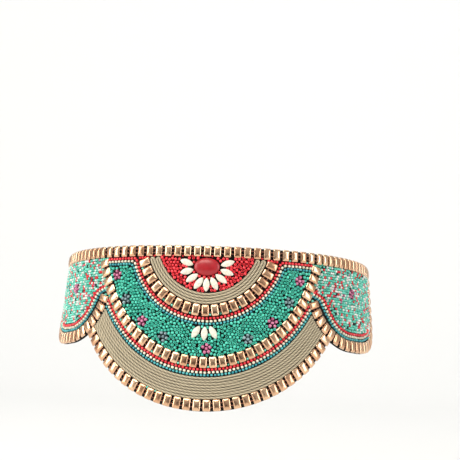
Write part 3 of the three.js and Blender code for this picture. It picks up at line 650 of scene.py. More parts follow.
def tube(centres, side_ways, up_ways, section):
    """Sweeps sections, (points, sides, 2) or one (sides, 2), along a line, with capped ends."""
    section = np.broadcast_to(section, (len(centres), *np.shape(section)[-2:]))
    beside, above = section[..., :1] * side_ways[:, None], section[..., 1:] * up_ways[:, None]
    points = centres[:, None] + beside + above
    count, sides = points.shape[:2]
    ring = np.arange(sides)
    caps = [ring[None], (sides * (count - 1) + ring[::-1])[None]]
    return points.reshape(-1, 3), [ring_quads(count, sides)[:, OTHER_WAY_ROUND], *caps]


def circle(radius, sides):
    angle = np.linspace(0, 2 * math.pi, sides, endpoint=False)
    return radius * np.stack([np.cos(angle), np.sin(angle)], -1)


def laid_tube(line, lift, section, step):
    """A tube laid on the cloth along a line of the plan."""
    points, headings = walk(line, step)
    places, axes = seats(points[:, 0], points[:, 1], headings, lift)
    return tube(places, axes[..., 1], axes[..., 2], section)


# %% Set the rows
# Two brown threads run through each bead, a sixth of its length off the middle, and show in the
# gaps. Beads sewn by hand sit a little off true.
THREAD_RADIUS, THREAD_LIFT, THREAD_STEP = 0.4, 1.25, 3.0
rng = np.random.default_rng(11)


def bead_row(name, points, headings, width, length):
    count = len(points)
    turned = headings + np.radians(rng.normal(0, 1.2, count))
    places, axes = seats(points[:, 0], points[:, 1], turned, CLEARANCE + BEAD_HEIGHT / 2 - 0.1)
    sides = (width, length, BEAD_HEIGHT)
    form = np.stack([np.broadcast_to(side, count) for side in sides], -1)
    beads = set_copies(PILLOW, places, axes, form / 2 * rng.normal(1, 0.01, (count, 3)))
    threads = []
    for across in (-length / 6, length / 6):
        normal = np.stack([-np.sin(headings), np.cos(headings)], -1)
        strand, _ = walk(points + across * normal, THREAD_STEP)
        section = circle(THREAD_RADIUS, 6)
        threads.append(laid_tube(strand, CLEARANCE + THREAD_LIFT, section, THREAD_STEP))
    all_points, faces = joined([beads, *threads])
    bead_faces = len(beads[1][0])
    face_finish = np.concatenate([np.zeros(bead_faces), np.ones(sum(map(len, faces)) - bead_faces)])
    tone = np.zeros(len(all_points))
    # The edge value pales each bead's rim: partly wear, partly a painted rim highlight.
    wear_and_highlight = np.zeros(len(all_points))
    tone[: len(beads[0])] = np.repeat(rng.random(count), len(PILLOW[0]))
    wear_and_highlight[: len(beads[0])] = np.tile(PILLOW_EDGE_WEAR_AND_HIGHLIGHT, count)
    make_piece(name.replace("_row", "_string"), all_points, faces, [gold_plating, brown_thread],
               [name], face_finish, {"tone": tone, "edge": wear_and_highlight})


for name, row in ROWS.items():
    bead_row(name, *row)

# %% [markdown]
# ## Seed beads
# A seed bead is a short rounded ring. Its hole matters: where the hole faces up, the bead reads as a
# small circle, and where it lies on its side it reads as a drum with one bright line. A sphere would
# show neither. The ring is swept from a rounded section, twelve sides round, which is as fine as the
# picture shows on something 2 to 3 mm wide.

# %% The seed bead's form


def seed_ring(sides=12):
    """A ring with unit radius and unit half length, its hole along the first axis."""
    section = np.array([
        [0.42, -0.5], [0.66, -1.0], [0.96, -0.6], [0.96, 0.6], [0.66, 1.0], [0.42, 0.5]])
    angle = np.linspace(0, 2 * math.pi, sides, endpoint=False)
    points = np.stack([
        np.broadcast_to(section[None, :, 1], (sides, 6)),
        section[None, :, 0] * np.cos(angle)[:, None],
        section[None, :, 0] * np.sin(angle)[:, None]], -1).reshape(-1, 3)
    around, along = np.meshgrid(np.arange(sides), np.arange(6), indexing="ij")
    nxt, beside = (around + 1) % sides, (along + 1) % 6
    quads = np.stack([around * 6 + along, nxt * 6 + along, nxt * 6 + beside, around * 6 + beside], -1)
    return points, [quads.reshape(-1, 4)]


SEED = seed_ring()
print("one seed bead has", len(SEED[1][0]), "faces")


class SeedBeads:
    """Gathers seed beads for one piece."""

    def __init__(self, finishes):
        self.finishes, self.parts, self.tones, self.kinds = finishes, [], [], []

    def add(self, places, axes, radius, half_length, kind):
        count = len(places)
        radius, half_length, kind = (np.broadcast_to(a, count) for a in (radius, half_length, kind))
        stretch = np.stack([half_length, radius, radius], -1)
        stretch = stretch * rng.normal(1, 0.035, (count, 3))
        self.parts.append(set_copies(SEED, places, axes, stretch))
        self.tones.append(np.repeat(np.clip(rng.normal(0.5, 0.28, count), 0, 1), len(SEED[0])))
        self.kinds.append(np.repeat(kind, len(SEED[1][0])))

    def count(self):
        return sum(map(len, self.tones)) // len(SEED[0])

    def build(self, name, nodes=()):
        points, faces = joined(self.parts)
        return make_piece(name, points, faces, self.finishes, nodes,
                          np.concatenate(self.kinds), {"tone": np.concatenate(self.tones)})


# %% [markdown]
# ## Lines of seed beads
# Three strings of beads lie side by side along the gold rows: red next to the gold, then cream, then
# teal. Each bead's hole lies along the string. The strings are sewn down by hand, so the beads wander
# by a tenth of a millimetre and turn a little.

# %% Set the lines
LINE_BEADS = [  # radius, half length and pitch of the red, cream and teal beads
    (1.08, 1.02, 2.95), (1.03, 1.05, 3.35), (0.97, 0.95, 2.85)]


def line_beads(beads, line, kind):
    radius, half_length, pitch = LINE_BEADS[kind]
    points, headings = walk(line, pitch)
    count = len(points)
    points = points + rng.normal(0, 0.07, (count, 2))
    turned = headings + np.radians(rng.normal(0, 5, count))
    lift = CLEARANCE + radius + rng.normal(0, 0.06, count)
    places, axes = seats(points[:, 0], points[:, 1], turned, lift)
    beads.add(places, axes, radius, half_length, kind)


def lane_offset(kind):
    """How far a string lies from the edge of its band: red, cream or teal."""
    return (kind + 0.5) * LINE_PITCH


def rounded_corner(line, corner, radius, count=30):
    """Replaces the part of a line within a radius of its corner by a smooth bend."""
    far = np.linalg.norm(line - corner, axis=1) > radius
    last, first = np.flatnonzero(~far)[0] - 1, np.flatnonzero(~far)[-1] + 1
    share = np.linspace(0, 1, count)[:, None]
    bend = (1 - share) ** 2 * line[last] + 2 * share * (1 - share) * corner + share**2 * line[first]
    return np.concatenate([line[:last], bend, line[first + 1 :]])


def inner_lane(offset):
    """Along the inner arc, and out under the upper row to the middle arc, with a rounded corner."""
    grow = EDGE + INNER_INSET + offset
    corner = arc_angle(grown(INNER_ARC, grow), -grow)
    half = arc_point(grown(INNER_ARC, grow), np.linspace(-math.pi / 2, corner, 300))
    run_v = -(EDGE + offset - 0.1)
    far = arc_u(grown(MIDDLE_ARC, -EDGE), run_v) - 1.2
    corner_point = np.array([arc_u(grown(INNER_ARC, grow), run_v), run_v])
    run = np.stack([np.linspace(corner_point[0], far, 100), np.full(100, run_v)], -1)
    half = np.concatenate([half[half[:, 1] < run_v], run])
    half = rounded_corner(half, corner_point, 1.2 + 0.5 * offset)
    return np.concatenate([mirrored(half[::-1], -1), half[1:]])


def outer_lane(offset):
    arc = grown(MIDDLE_ARC, EDGE + offset)
    end = meeting_angle(arc, EDGE + 3 * CLEARANCE)
    return arc_line(arc, end - 0.004)


HOOK_SLOPE, HOOK_V = math.tan(math.radians(20)), -30.4


def lane_floor(u, grow, hook_v):
    """Height of a lane at u, with its upper end bent over towards the middle arc from hook_v on."""
    bend, tangent = side_point(LANE_BEND, grow), lane_tangent(grow)
    hook_u = bend[0] + (hook_v - bend[1]) * tangent[0] / tangent[1]
    straight, hook = lane_v(u, grow), hook_v + (hook_u - u) * HOOK_SLOPE
    return (straight + hook) / 2 - np.sqrt(((straight - hook) / 2) ** 2 + 0.5)


def side_lane(offset):
    grow = -(EDGE + LINE_BAND - offset)
    bend_u = side_point(LANE_BEND, grow)[0]
    u = np.linspace(85, bend_u, 400)
    v = lane_floor(u, grow, HOOK_V - offset / 2)
    free = u > arc_u(grown(MIDDLE_ARC, EDGE + 0.6), v)
    curve = side_point(np.linspace(LANE_BEND, 0, 400), grow)
    rise_v = np.linspace(SIDE_V, SIDE_V + SIDE_LINE_RISE - 1.2, 30)
    rise = np.stack([np.full(30, curve[-1, 0]), rise_v], -1)
    return np.concatenate([np.stack([u[free], v[free]], -1), curve[1:], rise[1:]])


line_finishes = [red_glass, cream_glass, teal_glass]
for name, lane in (("inner_bead_lines", inner_lane), ("outer_bead_lines", outer_lane)):
    beads = SeedBeads(line_finishes)
    for kind in range(3):
        line_beads(beads, lane(lane_offset(kind)), kind)
    print(name, "takes", beads.count(), "beads")
    beads.build(name.replace("lines", "strings"), [name])
for side_name, side in (("left", -1), ("right", 1)):
    beads = SeedBeads(line_finishes)
    for kind in range(3):
        line_beads(beads, mirrored(side_lane(lane_offset(kind)), side), kind)
    beads.build("side_bead_strings_" + side_name, ["side_bead_lines_" + side_name])

# %% [markdown]
# ## Stones
# The middle of the medallion is an oval cabochon, ringed by nine petal beads, and three more petal
# beads point down below the inner strings. A cabochon is a low dome over a short upright girdle, and
# a petal bead is drilled from end to end and pointed at both. Both are turned from their profiles.

# %% Seats of the stones
CABOCHON_HALF = np.array([10.4, 7.3])
CABOCHON_RISE, CABOCHON_GIRDLE = 4.6, 1.2
PETAL_LENGTH, PETAL_WIDTH, PETAL_RISE = 11.4, 5.4, 3.2
CABOCHON_V = -(EDGE + CLEARANCE + CABOCHON_HALF[1])
# The way round the cabochon to each petal's inner tip and the way that the petal points, in degrees,
# and the tip's gap.
PETALS = [(9, 20, 0.7), (-18, -15, 0.6), (-51, -34, 0.6), (-74.5, -58, 1.6), (-90, -90, 1.5)]


def petal_seats():
    """(u, v, angle) of each petal bead round the cabochon, and then of the three below."""
    found = []
    for around, points, gap in PETALS:
        around, angle = math.radians(around), math.radians(points)
        u = (CABOCHON_HALF[0] + gap) * math.cos(around) + PETAL_LENGTH / 2 * math.cos(angle)
        v = CABOCHON_V + (CABOCHON_HALF[1] + gap) * math.sin(around)
        v += PETAL_LENGTH / 2 * math.sin(angle)
        found += [(0.0, v, angle)] if around < -1.57 else [(-u, v, math.pi - angle), (u, v, angle)]
    for spread, points in ((0.0, -90), (6.9, -59)):
        angle = math.radians(points)
        top = float(arc_v(grown(INNER_ARC, FIELD_GAP + INNER_INSET), spread)) - 0.6
        v = top + PETAL_LENGTH / 2 * math.sin(angle)
        mirror_image = [(-spread, v, math.pi - angle)] if spread else []
        found += [*mirror_image, (spread, v, angle)]
    return found


PETAL_SEATS = petal_seats()
print("petal beads:", len(PETAL_SEATS))

# %% Turn the stones


def lathe_oval(profile, sides):
    """Rings (size, height) from the foot to the top, on a unit oval, closed at both ends."""
    angle = np.linspace(0, 2 * math.pi, sides, endpoint=False)
    rings = [np.stack([size * np.cos(angle), size * np.sin(angle), np.full(sides, height)], -1)
             for size, height in profile]
    points = np.concatenate([*rings, [[0, 0, profile[-1][1]]]])
    ring = np.arange(sides)
    last = sides * (len(profile) - 1)
    tip = np.stack([last + ring, last + (ring + 1) % sides, np.full(sides, len(points) - 1)], -1)
    return points, [ring_quads(len(profile), sides), tip, ring[::-1][None]]


dome_angle = np.linspace(0, math.pi / 2, 15)[:-1]
dome = [(math.cos(a) ** 0.9, CABOCHON_GIRDLE + (CABOCHON_RISE - CABOCHON_GIRDLE) * math.sin(a))
        for a in dome_angle]
profile = [(0.97, 0.0), (0.995, 0.25), *dome, (0.02, CABOCHON_RISE)]
points, faces = lathe_oval(profile, 72)
place, axes = seats([0.0], [CABOCHON_V], [0.0], CLEARANCE)
points, faces = set_copies((points, faces), place, axes, [*CABOCHON_HALF, 1.0])
make_piece("red_cabochon", points, faces, [red_stone], ["cabochon"])


def petal_form(rings=22, sides=20):
    """A petal bead about its middle, with its length along the first axis."""
    at = -np.cos(np.linspace(0, math.pi, rings)[1:-1])
    width = (1 - np.abs(at) ** 1.9) ** 0.72
    angle = np.linspace(0, 2 * math.pi, sides, endpoint=False)
    section = np.stack([PETAL_WIDTH / 2 * np.cos(angle), PETAL_RISE / 2 * np.sin(angle)], -1)
    points = np.concatenate([
        np.concatenate([np.broadcast_to(x * PETAL_LENGTH / 2, (sides, 1)), section * w], 1)
        for x, w in zip(at, width)] + [[[-PETAL_LENGTH / 2, 0, 0]], [[PETAL_LENGTH / 2, 0, 0]]])
    ring = np.arange(sides)
    tips = []
    for row, tip, flip in ((0, len(points) - 2, 1), (len(at) - 1, len(points) - 1, -1)):
        corners = [row * sides + ring, row * sides + (ring + 1) % sides, np.full(sides, tip)]
        tips.append(np.stack(corners, -1)[:, ::flip])
    return points, [ring_quads(len(at), sides)[:, ::-1], *tips]


PETAL = petal_form()
names = [f"petal_{i}" for i in range(1, 10)] + [f"lower_petal_{i}" for i in range(1, 4)]
for name, (u, v, angle) in zip(names, PETAL_SEATS):
    tilt = np.radians(rng.normal(0, 2))
    place, axes = seats([u], [v], [angle + tilt], CLEARANCE + PETAL_RISE / 2)
    points, faces = set_copies(PETAL, place, axes, rng.normal(1, 0.015, 3))
    make_piece("stone_" + name, points, faces, [white_stone], [name])

# %% [markdown]
# ## Fields of seed beads
# The fields are filled bead by bead. Scattering by chance leaves holes and heaps, and a plain grid
# looks printed. So the beads start on a rough grid and push each other apart until they sit evenly,
# held in by the rows and stones around them, which is much what the maker's needle does.

# %% Fill an area with beads


def outside_petals(points, gap):
    clear = np.ones(len(points), bool)
    for u, v, angle in PETAL_SEATS:
        du, dv = points[:, 0] - u, points[:, 1] - v
        along = du * math.cos(angle) + dv * math.sin(angle)
        beside = -du * math.sin(angle) + dv * math.cos(angle)
        clear &= np.hypot(along / (PETAL_LENGTH / 2 + gap), beside / (PETAL_WIDTH / 2 + gap)) > 1
    return clear


def push_apart(points, inside, spacing, rounds):
    for _ in range(rounds):
        gap = points[:, None] - points[None]
        distance = np.sqrt((gap**2).sum(-1)) + 1e-9
        np.fill_diagonal(distance, 1e9)
        push = np.clip(1.04 * spacing - distance, 0, None) / distance * 0.32
        moved = points + (gap * push[..., None]).sum(1)
        points = np.where(inside(moved)[:, None], moved, points)
    return points


def settle(inside, low, high, spacing, seed):
    """Points about spacing apart inside an area, settled from a rough grid, with no holes left."""
    chance = np.random.default_rng(seed)
    rows = np.arange(low[1], high[1], spacing * 0.866)
    columns = np.arange(low[0], high[0], spacing)
    u, v = np.meshgrid(columns, rows)
    u = u + (np.arange(len(rows)) % 2)[:, None] * spacing / 2
    points = np.stack([u.ravel(), v.ravel()], -1) + chance.normal(0, 0.28 * spacing, (u.size, 2))
    points = push_apart(points[inside(points)], inside, spacing, 40)
    fine = np.stack(np.meshgrid(np.arange(low[0], high[0], 0.4), np.arange(low[1], high[1], 0.4)), -1)
    fine = fine.reshape(-1, 2)
    fine = fine[inside(fine)]
    for _ in range(3):
        free = np.full(len(fine), np.inf)
        for point in points:
            free = np.minimum(free, np.hypot(*(fine - point).T))
        while free.max() > 0.83 * spacing:
            added = fine[np.argmax(free)]
            points = np.concatenate([points, added[None]])
            free = np.minimum(free, np.hypot(*(fine - added).T))
        points = push_apart(points, inside, spacing, 15)
    return points


def in_arc(points, arc):
    return np.hypot(points[:, 0] / arc[1], (points[:, 1] - arc[0]) / arc[2]) < 1


# %% Flowers of pearl beads
# Five pearl beads round one in the middle.
FLOWERS = [  # u, v, and whether it is grey-blue
    (-78.3, -19.0, 0), (77.2, -19.4, 0), (-52.3, -56.8, 0), (54.5, -55.0, 0), (2.0, -78.3, 0),
    (-68.4, -38.8, 1), (68.4, -37.6, 1), (-33.4, -69.4, 1), (34.8, -69.1, 1),
    (-134.0, -27.0, 0), (137.8, -24.0, 0)]
# The ring's radius, and the radius of its beads and of the one in the middle.
FLOWER_RING, PEARL_RADIUS, MIDDLE_PEARL_RADIUS, PEARL_HALF_LENGTH = 3.15, 1.38, 1.3, 1.25
FLOWER_REACH = FLOWER_RING + 1.4


def outside_flowers(points, gap):
    clear = np.ones(len(points), bool)
    for u, v, _ in FLOWERS:
        clear &= np.hypot(points[:, 0] - u, points[:, 1] - v) > FLOWER_REACH + gap
    return clear


flowers = SeedBeads([pink_pearl, grey_pearl])
for u, v, kind in FLOWERS:
    count = 5
    angle = rng.uniform(0, 2 * math.pi) + np.arange(count) * 2 * math.pi / count
    angle = angle + rng.normal(0, 0.08, count)
    reach = FLOWER_RING + rng.normal(0, 0.12, count)
    at_u = np.append(u + reach * np.cos(angle), u)
    at_v = np.append(v + reach * np.sin(angle), v)
    places, axes = seats(at_u, at_v, np.append(angle + math.pi / 2, 0), CLEARANCE + 1.35)
    radius = np.append(np.full(count, PEARL_RADIUS), MIDDLE_PEARL_RADIUS)
    flowers.add(places, axes, radius, PEARL_HALF_LENGTH, kind)
flowers.build("pearl_flowers")
print("flower beads:", flowers.count())

# %% Lay the fields' beads
# A third of the beads or more stand with the hole up, and the rest lie on their side. Each field has
# its beads' spacing, radius and half length.
RED_BEADS, GREEN_BEADS, SIDE_BEADS = (2.6, 1.24, 1.05), (2.78, 1.25, 1.03), (2.3, 1.02, 0.85)


def lay_seeds(beads, points, radius, half_length, kind, upright=0.33):
    count = len(points)
    radius = radius * rng.normal(1, 0.05, count)
    stands = rng.random(count) < upright
    height = np.where(stands, half_length, radius) + rng.uniform(0, 0.25, count)
    places, axes = seats(points[:, 0], points[:, 1], rng.uniform(0, math.pi, count), CLEARANCE + height)
    lean = np.where(stands, math.pi / 2 + rng.normal(0, 0.3, count), rng.normal(0, 0.22, count))
    along, up = axes[..., 0], axes[..., 2]
    tipped = along * np.cos(lean)[:, None] + up * np.sin(lean)[:, None]
    raised = up * np.cos(lean)[:, None] - along * np.sin(lean)[:, None]
    axes = np.stack([tipped, axes[..., 1], raised], -1)
    beads.add(places, axes, radius, half_length, kind)


def in_red(points):
    half = CABOCHON_HALF + 1.2
    oval = np.hypot(points[:, 0] / half[0], (points[:, 1] - CABOCHON_V) / half[1])
    arc = grown(INNER_ARC, -(EDGE + 9.2 + CLEARANCE) - 1.0)
    return in_arc(points, arc) & (points[:, 1] < -EDGE - 0.6) & (oval > 1) & outside_petals(points, 0.8)


def in_green(points):
    low = FIELD_GAP + INNER_INSET + 0.7
    inside = in_arc(points, grown(MIDDLE_ARC, -EDGE - 0.8)) & ~in_arc(points, grown(INNER_ARC, low))
    inside &= points[:, 1] < INNER_INSET - low
    return inside & outside_petals(points, 0.8) & outside_flowers(points, 0.7)


red_points = settle(in_red, (-45, -50), (45, 0), RED_BEADS[0], 3)
beads = SeedBeads([red_glass])
lay_seeds(beads, red_points, *RED_BEADS[1:], 0)
beads.build("red_field_beads", ["red_bead_field"])
green_points = settle(in_green, (-100, -90), (100, -10), GREEN_BEADS[0], 4)
beads = SeedBeads([turquoise_glass])
lay_seeds(beads, green_points, *GREEN_BEADS[1:], 0, 0.4)
beads.build("green_field_beads", ["green_bead_field"])
print("field beads:", len(red_points), "red and", len(green_points), "green")

# %% Lay the side fields' beads
# Smaller beads of mixed colours: turquoise for the most part, with white, red and a few others.
# Each share below is where the next colour starts.
COLOUR_SHARES = [0.62, 0.845, 0.965, 0.985]


def in_side(points):
    u, v = points[:, 0], points[:, 1]
    field_gap = FIELD_GAP + CLEARANCE
    beside_end_row = SIDE_V + SIDE_LINE_RISE + CLEARANCE + 0.9
    end_u = END_ROW_U - field_gap - 0.1
    lower = np.where(u < end_u, lane_floor(u, -field_gap + 0.3, HOOK_V + 0.2) + 0.9,
                     beside_end_row)
    inside = (u > arc_u(grown(MIDDLE_ARC, EDGE + 0.7), v)) & (v < -EDGE - 0.6)
    return inside & (u < END_ROW_U - EDGE - 0.7) & (v > lower)


for side_name, side in (("left", -1), ("right", 1)):
    own_flowers = [np.array([u * side, v]) for u, v, _ in FLOWERS if u * side > 100]

    def in_own_side(points):
        clear = in_side(points)
        for middle in own_flowers:
            clear &= np.hypot(*(points - middle).T) > FLOWER_REACH + 0.5
        return clear

    points = settle(in_own_side, (86, -64), (190, 0), SIDE_BEADS[0], 20 + side)
    kind = np.digitize(rng.random(len(points)), COLOUR_SHARES)
    beads = SeedBeads([turquoise_bright, white_glass, red_glass, pink_pearl, black_glass])
    lay_seeds(beads, mirrored(points, side), *SIDE_BEADS[1:], kind)
    beads.build("side_field_beads_" + side_name, ["side_bead_field_" + side_name])
    print("side field", side_name, "takes", len(points), "beads")

# %% [markdown]
# ## Seed beads between the gold ones
# Here and there the needle has picked up a small seed bead in the gap between two gold beads, mostly
# at the outer end. These few spots of turquoise, and some red ones under the upper row, keep the gold
# rows from looking machine made, so they are set one by one at the gaps where they are found.

# %% Set the seed beads in the gaps
GAP_SEED_RADIUS = 0.85


def gap_seeds(beads, row, share, across, kind, sides=(-1.0, 1.0), from_u=0.0, to_u=200.0):
    """Seed beads in some of a row's gaps, at a distance across it to the left of its heading."""
    points, headings = ROWS[row][:2]
    middle = (points[1:] + points[:-1]) / 2
    heading = (headings[1:] + headings[:-1]) / 2
    away = np.abs(middle[:, 0])
    keep = (rng.random(len(middle)) < share) & (away > from_u) & (away < to_u)
    keep &= np.isin(np.sign(middle[:, 0]), sides)
    middle, heading = middle[keep], heading[keep]
    middle = middle + across * np.stack([-np.sin(heading), np.cos(heading)], -1)
    lay_seeds(beads, middle + rng.normal(0, 0.1, middle.shape), GAP_SEED_RADIUS, 0.8, kind, 0.4)


beads = SeedBeads([turquoise_bright, red_glass])
gap_seeds(beads, "middle_arc_bead_row", 0.85, -3.6, 0)
gap_seeds(beads, "inner_arc_bead_row", 0.55, -3.6, 0)
gap_seeds(beads, "outer_arc_bead_row", 0.15, 3.8, 0, sides=(-1.0,))
gap_seeds(beads, "upper_bead_row", 0.8, -4.0, 1, to_u=50.0)
gap_seeds(beads, "upper_bead_row", 0.4, -4.0, 0, sides=(1.0,), from_u=62.0, to_u=106.0)
# The wedges between a side panel's lanes, its row and the middle arc are filled in turquoise.
wedge = np.array([[90.3, -34.5], [92.6, -35.2], [89.3, -36.9], [95.2, -36.3]])
# Short rows close the gaps between the upper row and the first beads of the arcs.
by_inner = np.array([[49.6, -5.5], [52.0, -5.3], [54.4, -5.4], [56.8, -5.6]])
by_middle = np.array([[90.3, -5.3], [92.7, -5.5], [95.1, -5.3], [97.5, -5.6], [98.6, -7.9]])
for side in (-1, 1):
    lay_seeds(beads, mirrored(wedge, side), 1.0, 0.9, 0, 0.2)
    lay_seeds(beads, mirrored(by_inner, side), 1.0, 0.95, 1, 0.2)
    lay_seeds(beads, mirrored(by_middle, side), 1.0, 0.9, 0, 0.2)
print("seed beads in gaps:", beads.count())
beads.build("gap_seed_beads")

# %% [markdown]
# ## Twisted cord
# Each cord is three yarns twisted together, 2 mm thick, with one full turn in 12 mm. Texture alone
# would leave a smooth pipe, whose outline gives it away. So the section has three lobes, and it turns
# as the tube runs, which makes the slanting grooves for real. The fibres are left to the finish.

# %% Lay the cords
CORD_RADIUS, TWIST_LENGTH, CORD_STEP, CORD_SIDES = 1.0, 12.0, 0.7, 15
INNER_CORD_PITCH = 2.3


def twisted_cord(line, chance):
    """(points, faces), with tone, painted groove shade and fibre coordinates for the finish."""
    points, headings = walk(line, CORD_STEP)
    count = len(points)
    run = CORD_STEP * np.arange(count)
    knots = np.arange(0, run[-1] + 9, 9)
    wander = np.interp(run, knots, chance.normal(0, 0.06, len(knots)))
    normal = np.stack([-np.sin(headings), np.cos(headings)], -1)
    points = points + wander[:, None] * normal
    places, axes = seats(points[:, 0], points[:, 1], headings, CLEARANCE + CORD_RADIUS - 0.1)
    angle = np.linspace(0, 2 * math.pi, CORD_SIDES, endpoint=False)
    turn = 2 * math.pi * run / TWIST_LENGTH + np.interp(run, knots, chance.uniform(0, 0.9, len(knots)))
    lobe = (1 + np.cos(3 * angle)) / 2
    radius = CORD_RADIUS * (0.86 + 0.14 * np.sqrt(lobe))
    around = angle[None] + turn[:, None] + chance.uniform(0, 6)
    section = radius[None, :, None] * np.stack([np.cos(around), np.sin(around)], -1)
    verts, faces = tube(places, axes[..., 1], axes[..., 2], section)
    # Painted shade for the hollows between the lobes, darkest where the lobes dip lowest.
    groove_shade = np.tile(np.clip(1 - lobe * 2.2, 0, 1) * 0.75, count)
    fibre = np.stack([np.tile(np.cos(angle) * 2, count), np.tile(np.sin(angle) * 2, count),
                      np.repeat(run * 0.35, CORD_SIDES)], -1)
    tone = np.full(len(verts), chance.uniform(0.8, 1.0))
    return verts, faces, tone, groove_shade, fibre


def cord_piece(name, lines, seed):
    chance = np.random.default_rng(seed)
    cords = [twisted_cord(line, chance) for line in lines]
    points, faces = joined([cord[:2] for cord in cords])
    tone, groove_shade, fibre = (np.concatenate([cord[k] for cord in cords]) for k in (2, 3, 4))
    make_piece(name.replace("_band", "s"), points, faces, [twisted_yarn], [name],
               None, {"tone": tone, "groove_shade": groove_shade, "fibre": fibre})


def folded_pair(k):
    """Two neighbouring inner cords, the first of them number k, folded into each other above."""
    lanes = []
    for lane in (k, k + 1):
        arc = grown(INNER_ARC, -EDGE - (lane + 0.5) * INNER_CORD_PITCH)
        lanes.append(arc_line(arc, arc_angle(arc, -EDGE - 0.9 - INNER_CORD_PITCH / 2)))
    outer, inner = lanes
    folds = []
    for start, end in ((outer[-1], inner[-1]), (inner[0], outer[0])):
        middle, arm = (start + end) / 2, (start - end) / 2
        turn = np.linspace(0, math.pi, 16)[1:-1, None]
        folds.append(middle + arm * np.cos(turn) + np.array([0, np.hypot(*arm)]) * np.sin(turn))
    half = len(outer) // 2
    return np.concatenate([outer[half:], folds[0], inner[::-1], folds[1], outer[:half]])


cord_piece("inner_cord_band", [folded_pair(0), folded_pair(2)], 31)

outer_lanes = []
first, last = grown(MIDDLE_ARC, FIELD_GAP), grown(OUTER_ARC, -EDGE)
for k in range(8):
    share = (k + 0.5) / 8
    arc = tuple(a + share * (b - a) for a, b in zip(first, last))
    outer_lanes.append(arc_line(arc, meeting_angle(arc, EDGE + 3 * CLEARANCE)))
cord_piece("outer_cord_band", outer_lanes, 32)

# %% [markdown]
# ## Cloth panel
# The panel is two layers of black cloth over a stiffener, 1.5 mm thick, cut to the scallops and
# bound by the beads' stitches. It is modelled as a thin slab with a rounded rim: columns of points
# from the lower edge to the upper one, wrapped like everything else.

# %% Cut the panel


def leaned_u(u, v):
    return u * (1 - (1 - (u / PANEL_END_U) ** 8) * v / FRONT_REACH)


def panel_lower_v(u):
    u = np.abs(u)
    scallop = arc_v(grown(OUTER_ARC, HALF_BEAD + 0.3), u)
    return np.minimum(scallop, side_v(np.minimum(u, PANEL_END_U), HALF_BEAD + 0.5))


def end_faces(count, sides):
    """Closes both ends of a slab, quad by quad between its outer and its inner face."""
    low = np.arange(sides // 2 - 1)
    return [np.stack([base + low, base + low + 1, base + sides - 2 - low, base + sides - 1 - low],
                     -1)[:, ::flip]
            for base, flip in ((0, 1), (sides * (count - 1), -1))]


def panel():
    end_us = 180 + (PANEL_END_U - 180) * np.sin(np.linspace(0, math.pi / 2, 24))
    half = np.concatenate([np.arange(0, 180, 1.5), end_us])
    u = np.concatenate([-half[:0:-1], half])
    lower = panel_lower_v(u)
    for _ in range(8):
        lower = panel_lower_v(leaned_u(u, lower))
    upper = np.full(len(u), HALF_BEAD + 0.1)
    share = np.linspace(0, 1, 26)
    # Round the rim: the first and last rows of each face sit lower than the rest.
    inset = 0.55 * np.sin(np.minimum(1, np.minimum(share, 1 - share) / 0.012) * math.pi / 2)
    rows = [(s, -0.75 + 0.75 * (0.25 + 0.75 * d / 0.55)) for s, d in zip(share, inset)]
    rows += [(s, -0.75 - 0.75 * (0.25 + 0.75 * d / 0.55)) for s, d in zip(share[::-1], inset[::-1])]
    loops, plans = [], []
    for s, lift in rows:
        v = lower + s * (upper - lower)
        at_u = leaned_u(u, v)
        loops.append(wrap(at_u, v, lift)[0])
        plans.append(np.stack([at_u, v, np.full(len(u), lift)], -1))
    points, plan = np.stack(loops, 1), np.stack(plans, 1)
    count, sides = points.shape[:2]
    faces = [ring_quads(count, sides)[:, ::-1], *end_faces(count, sides)]
    return points.reshape(-1, 3), faces, plan.reshape(-1, 3), u, lower, upper


points, faces, plan, panel_u, lower, upper = panel()
cloth = make_piece("cloth_panel", points, faces, [black_cloth], ["backing"],
                   None, {"plan": plan})
heights = upper - lower

# %% [markdown]
# ## Elastic straps and clasp
# The back of the belt is plain: two bands of woven elastic, 40 mm wide, sewn behind the panel's ends
# and joined by one plain moulded sleeve. Woven elastic has rubber cores that run along it, so its
# face is ribbed lengthwise, and the ribs are modelled, because they show at the cut ends too.

# %% Route of the straps
STRAP_WIDTH, STRAP_THICK, STRAP_V = 40.0, 1.5, -24.5
STRAP_LIFT = -(1.5 + 1.5 * CLEARANCE)
STRAP_OVERLAP = 18.0


def run_of(u):
    return math.atan2(u, FRONT_REACH - STRAP_V) * FRONT_REACH


panel_end_run = run_of(END_ROW_U)
panel_end_z = wrap(END_ROW_U, STRAP_V)[0][2]
panel_end_slope = -math.tan(panel_end_run / FRONT_REACH)
back_run = BACK_SWING * FRONT_REACH


def strap_place(run, height, lift):
    run, height, lift = np.broadcast_arrays(run, height, lift)
    level = back_run - panel_end_run
    past = np.minimum(run - panel_end_run, 2 * level - (run - panel_end_run))
    z = panel_end_z + panel_end_slope * (past - np.maximum(0, past) ** 2 / (2 * level)) + height
    reach = np.interp(run / FRONT_REACH, swings, reaches) * (1 - z / CONE_TIP[2])
    return cone_frame(run / FRONT_REACH, reach, lift)[0]


# %% Weave the straps
RIBS, RIB_DEPTH = 20, 0.22


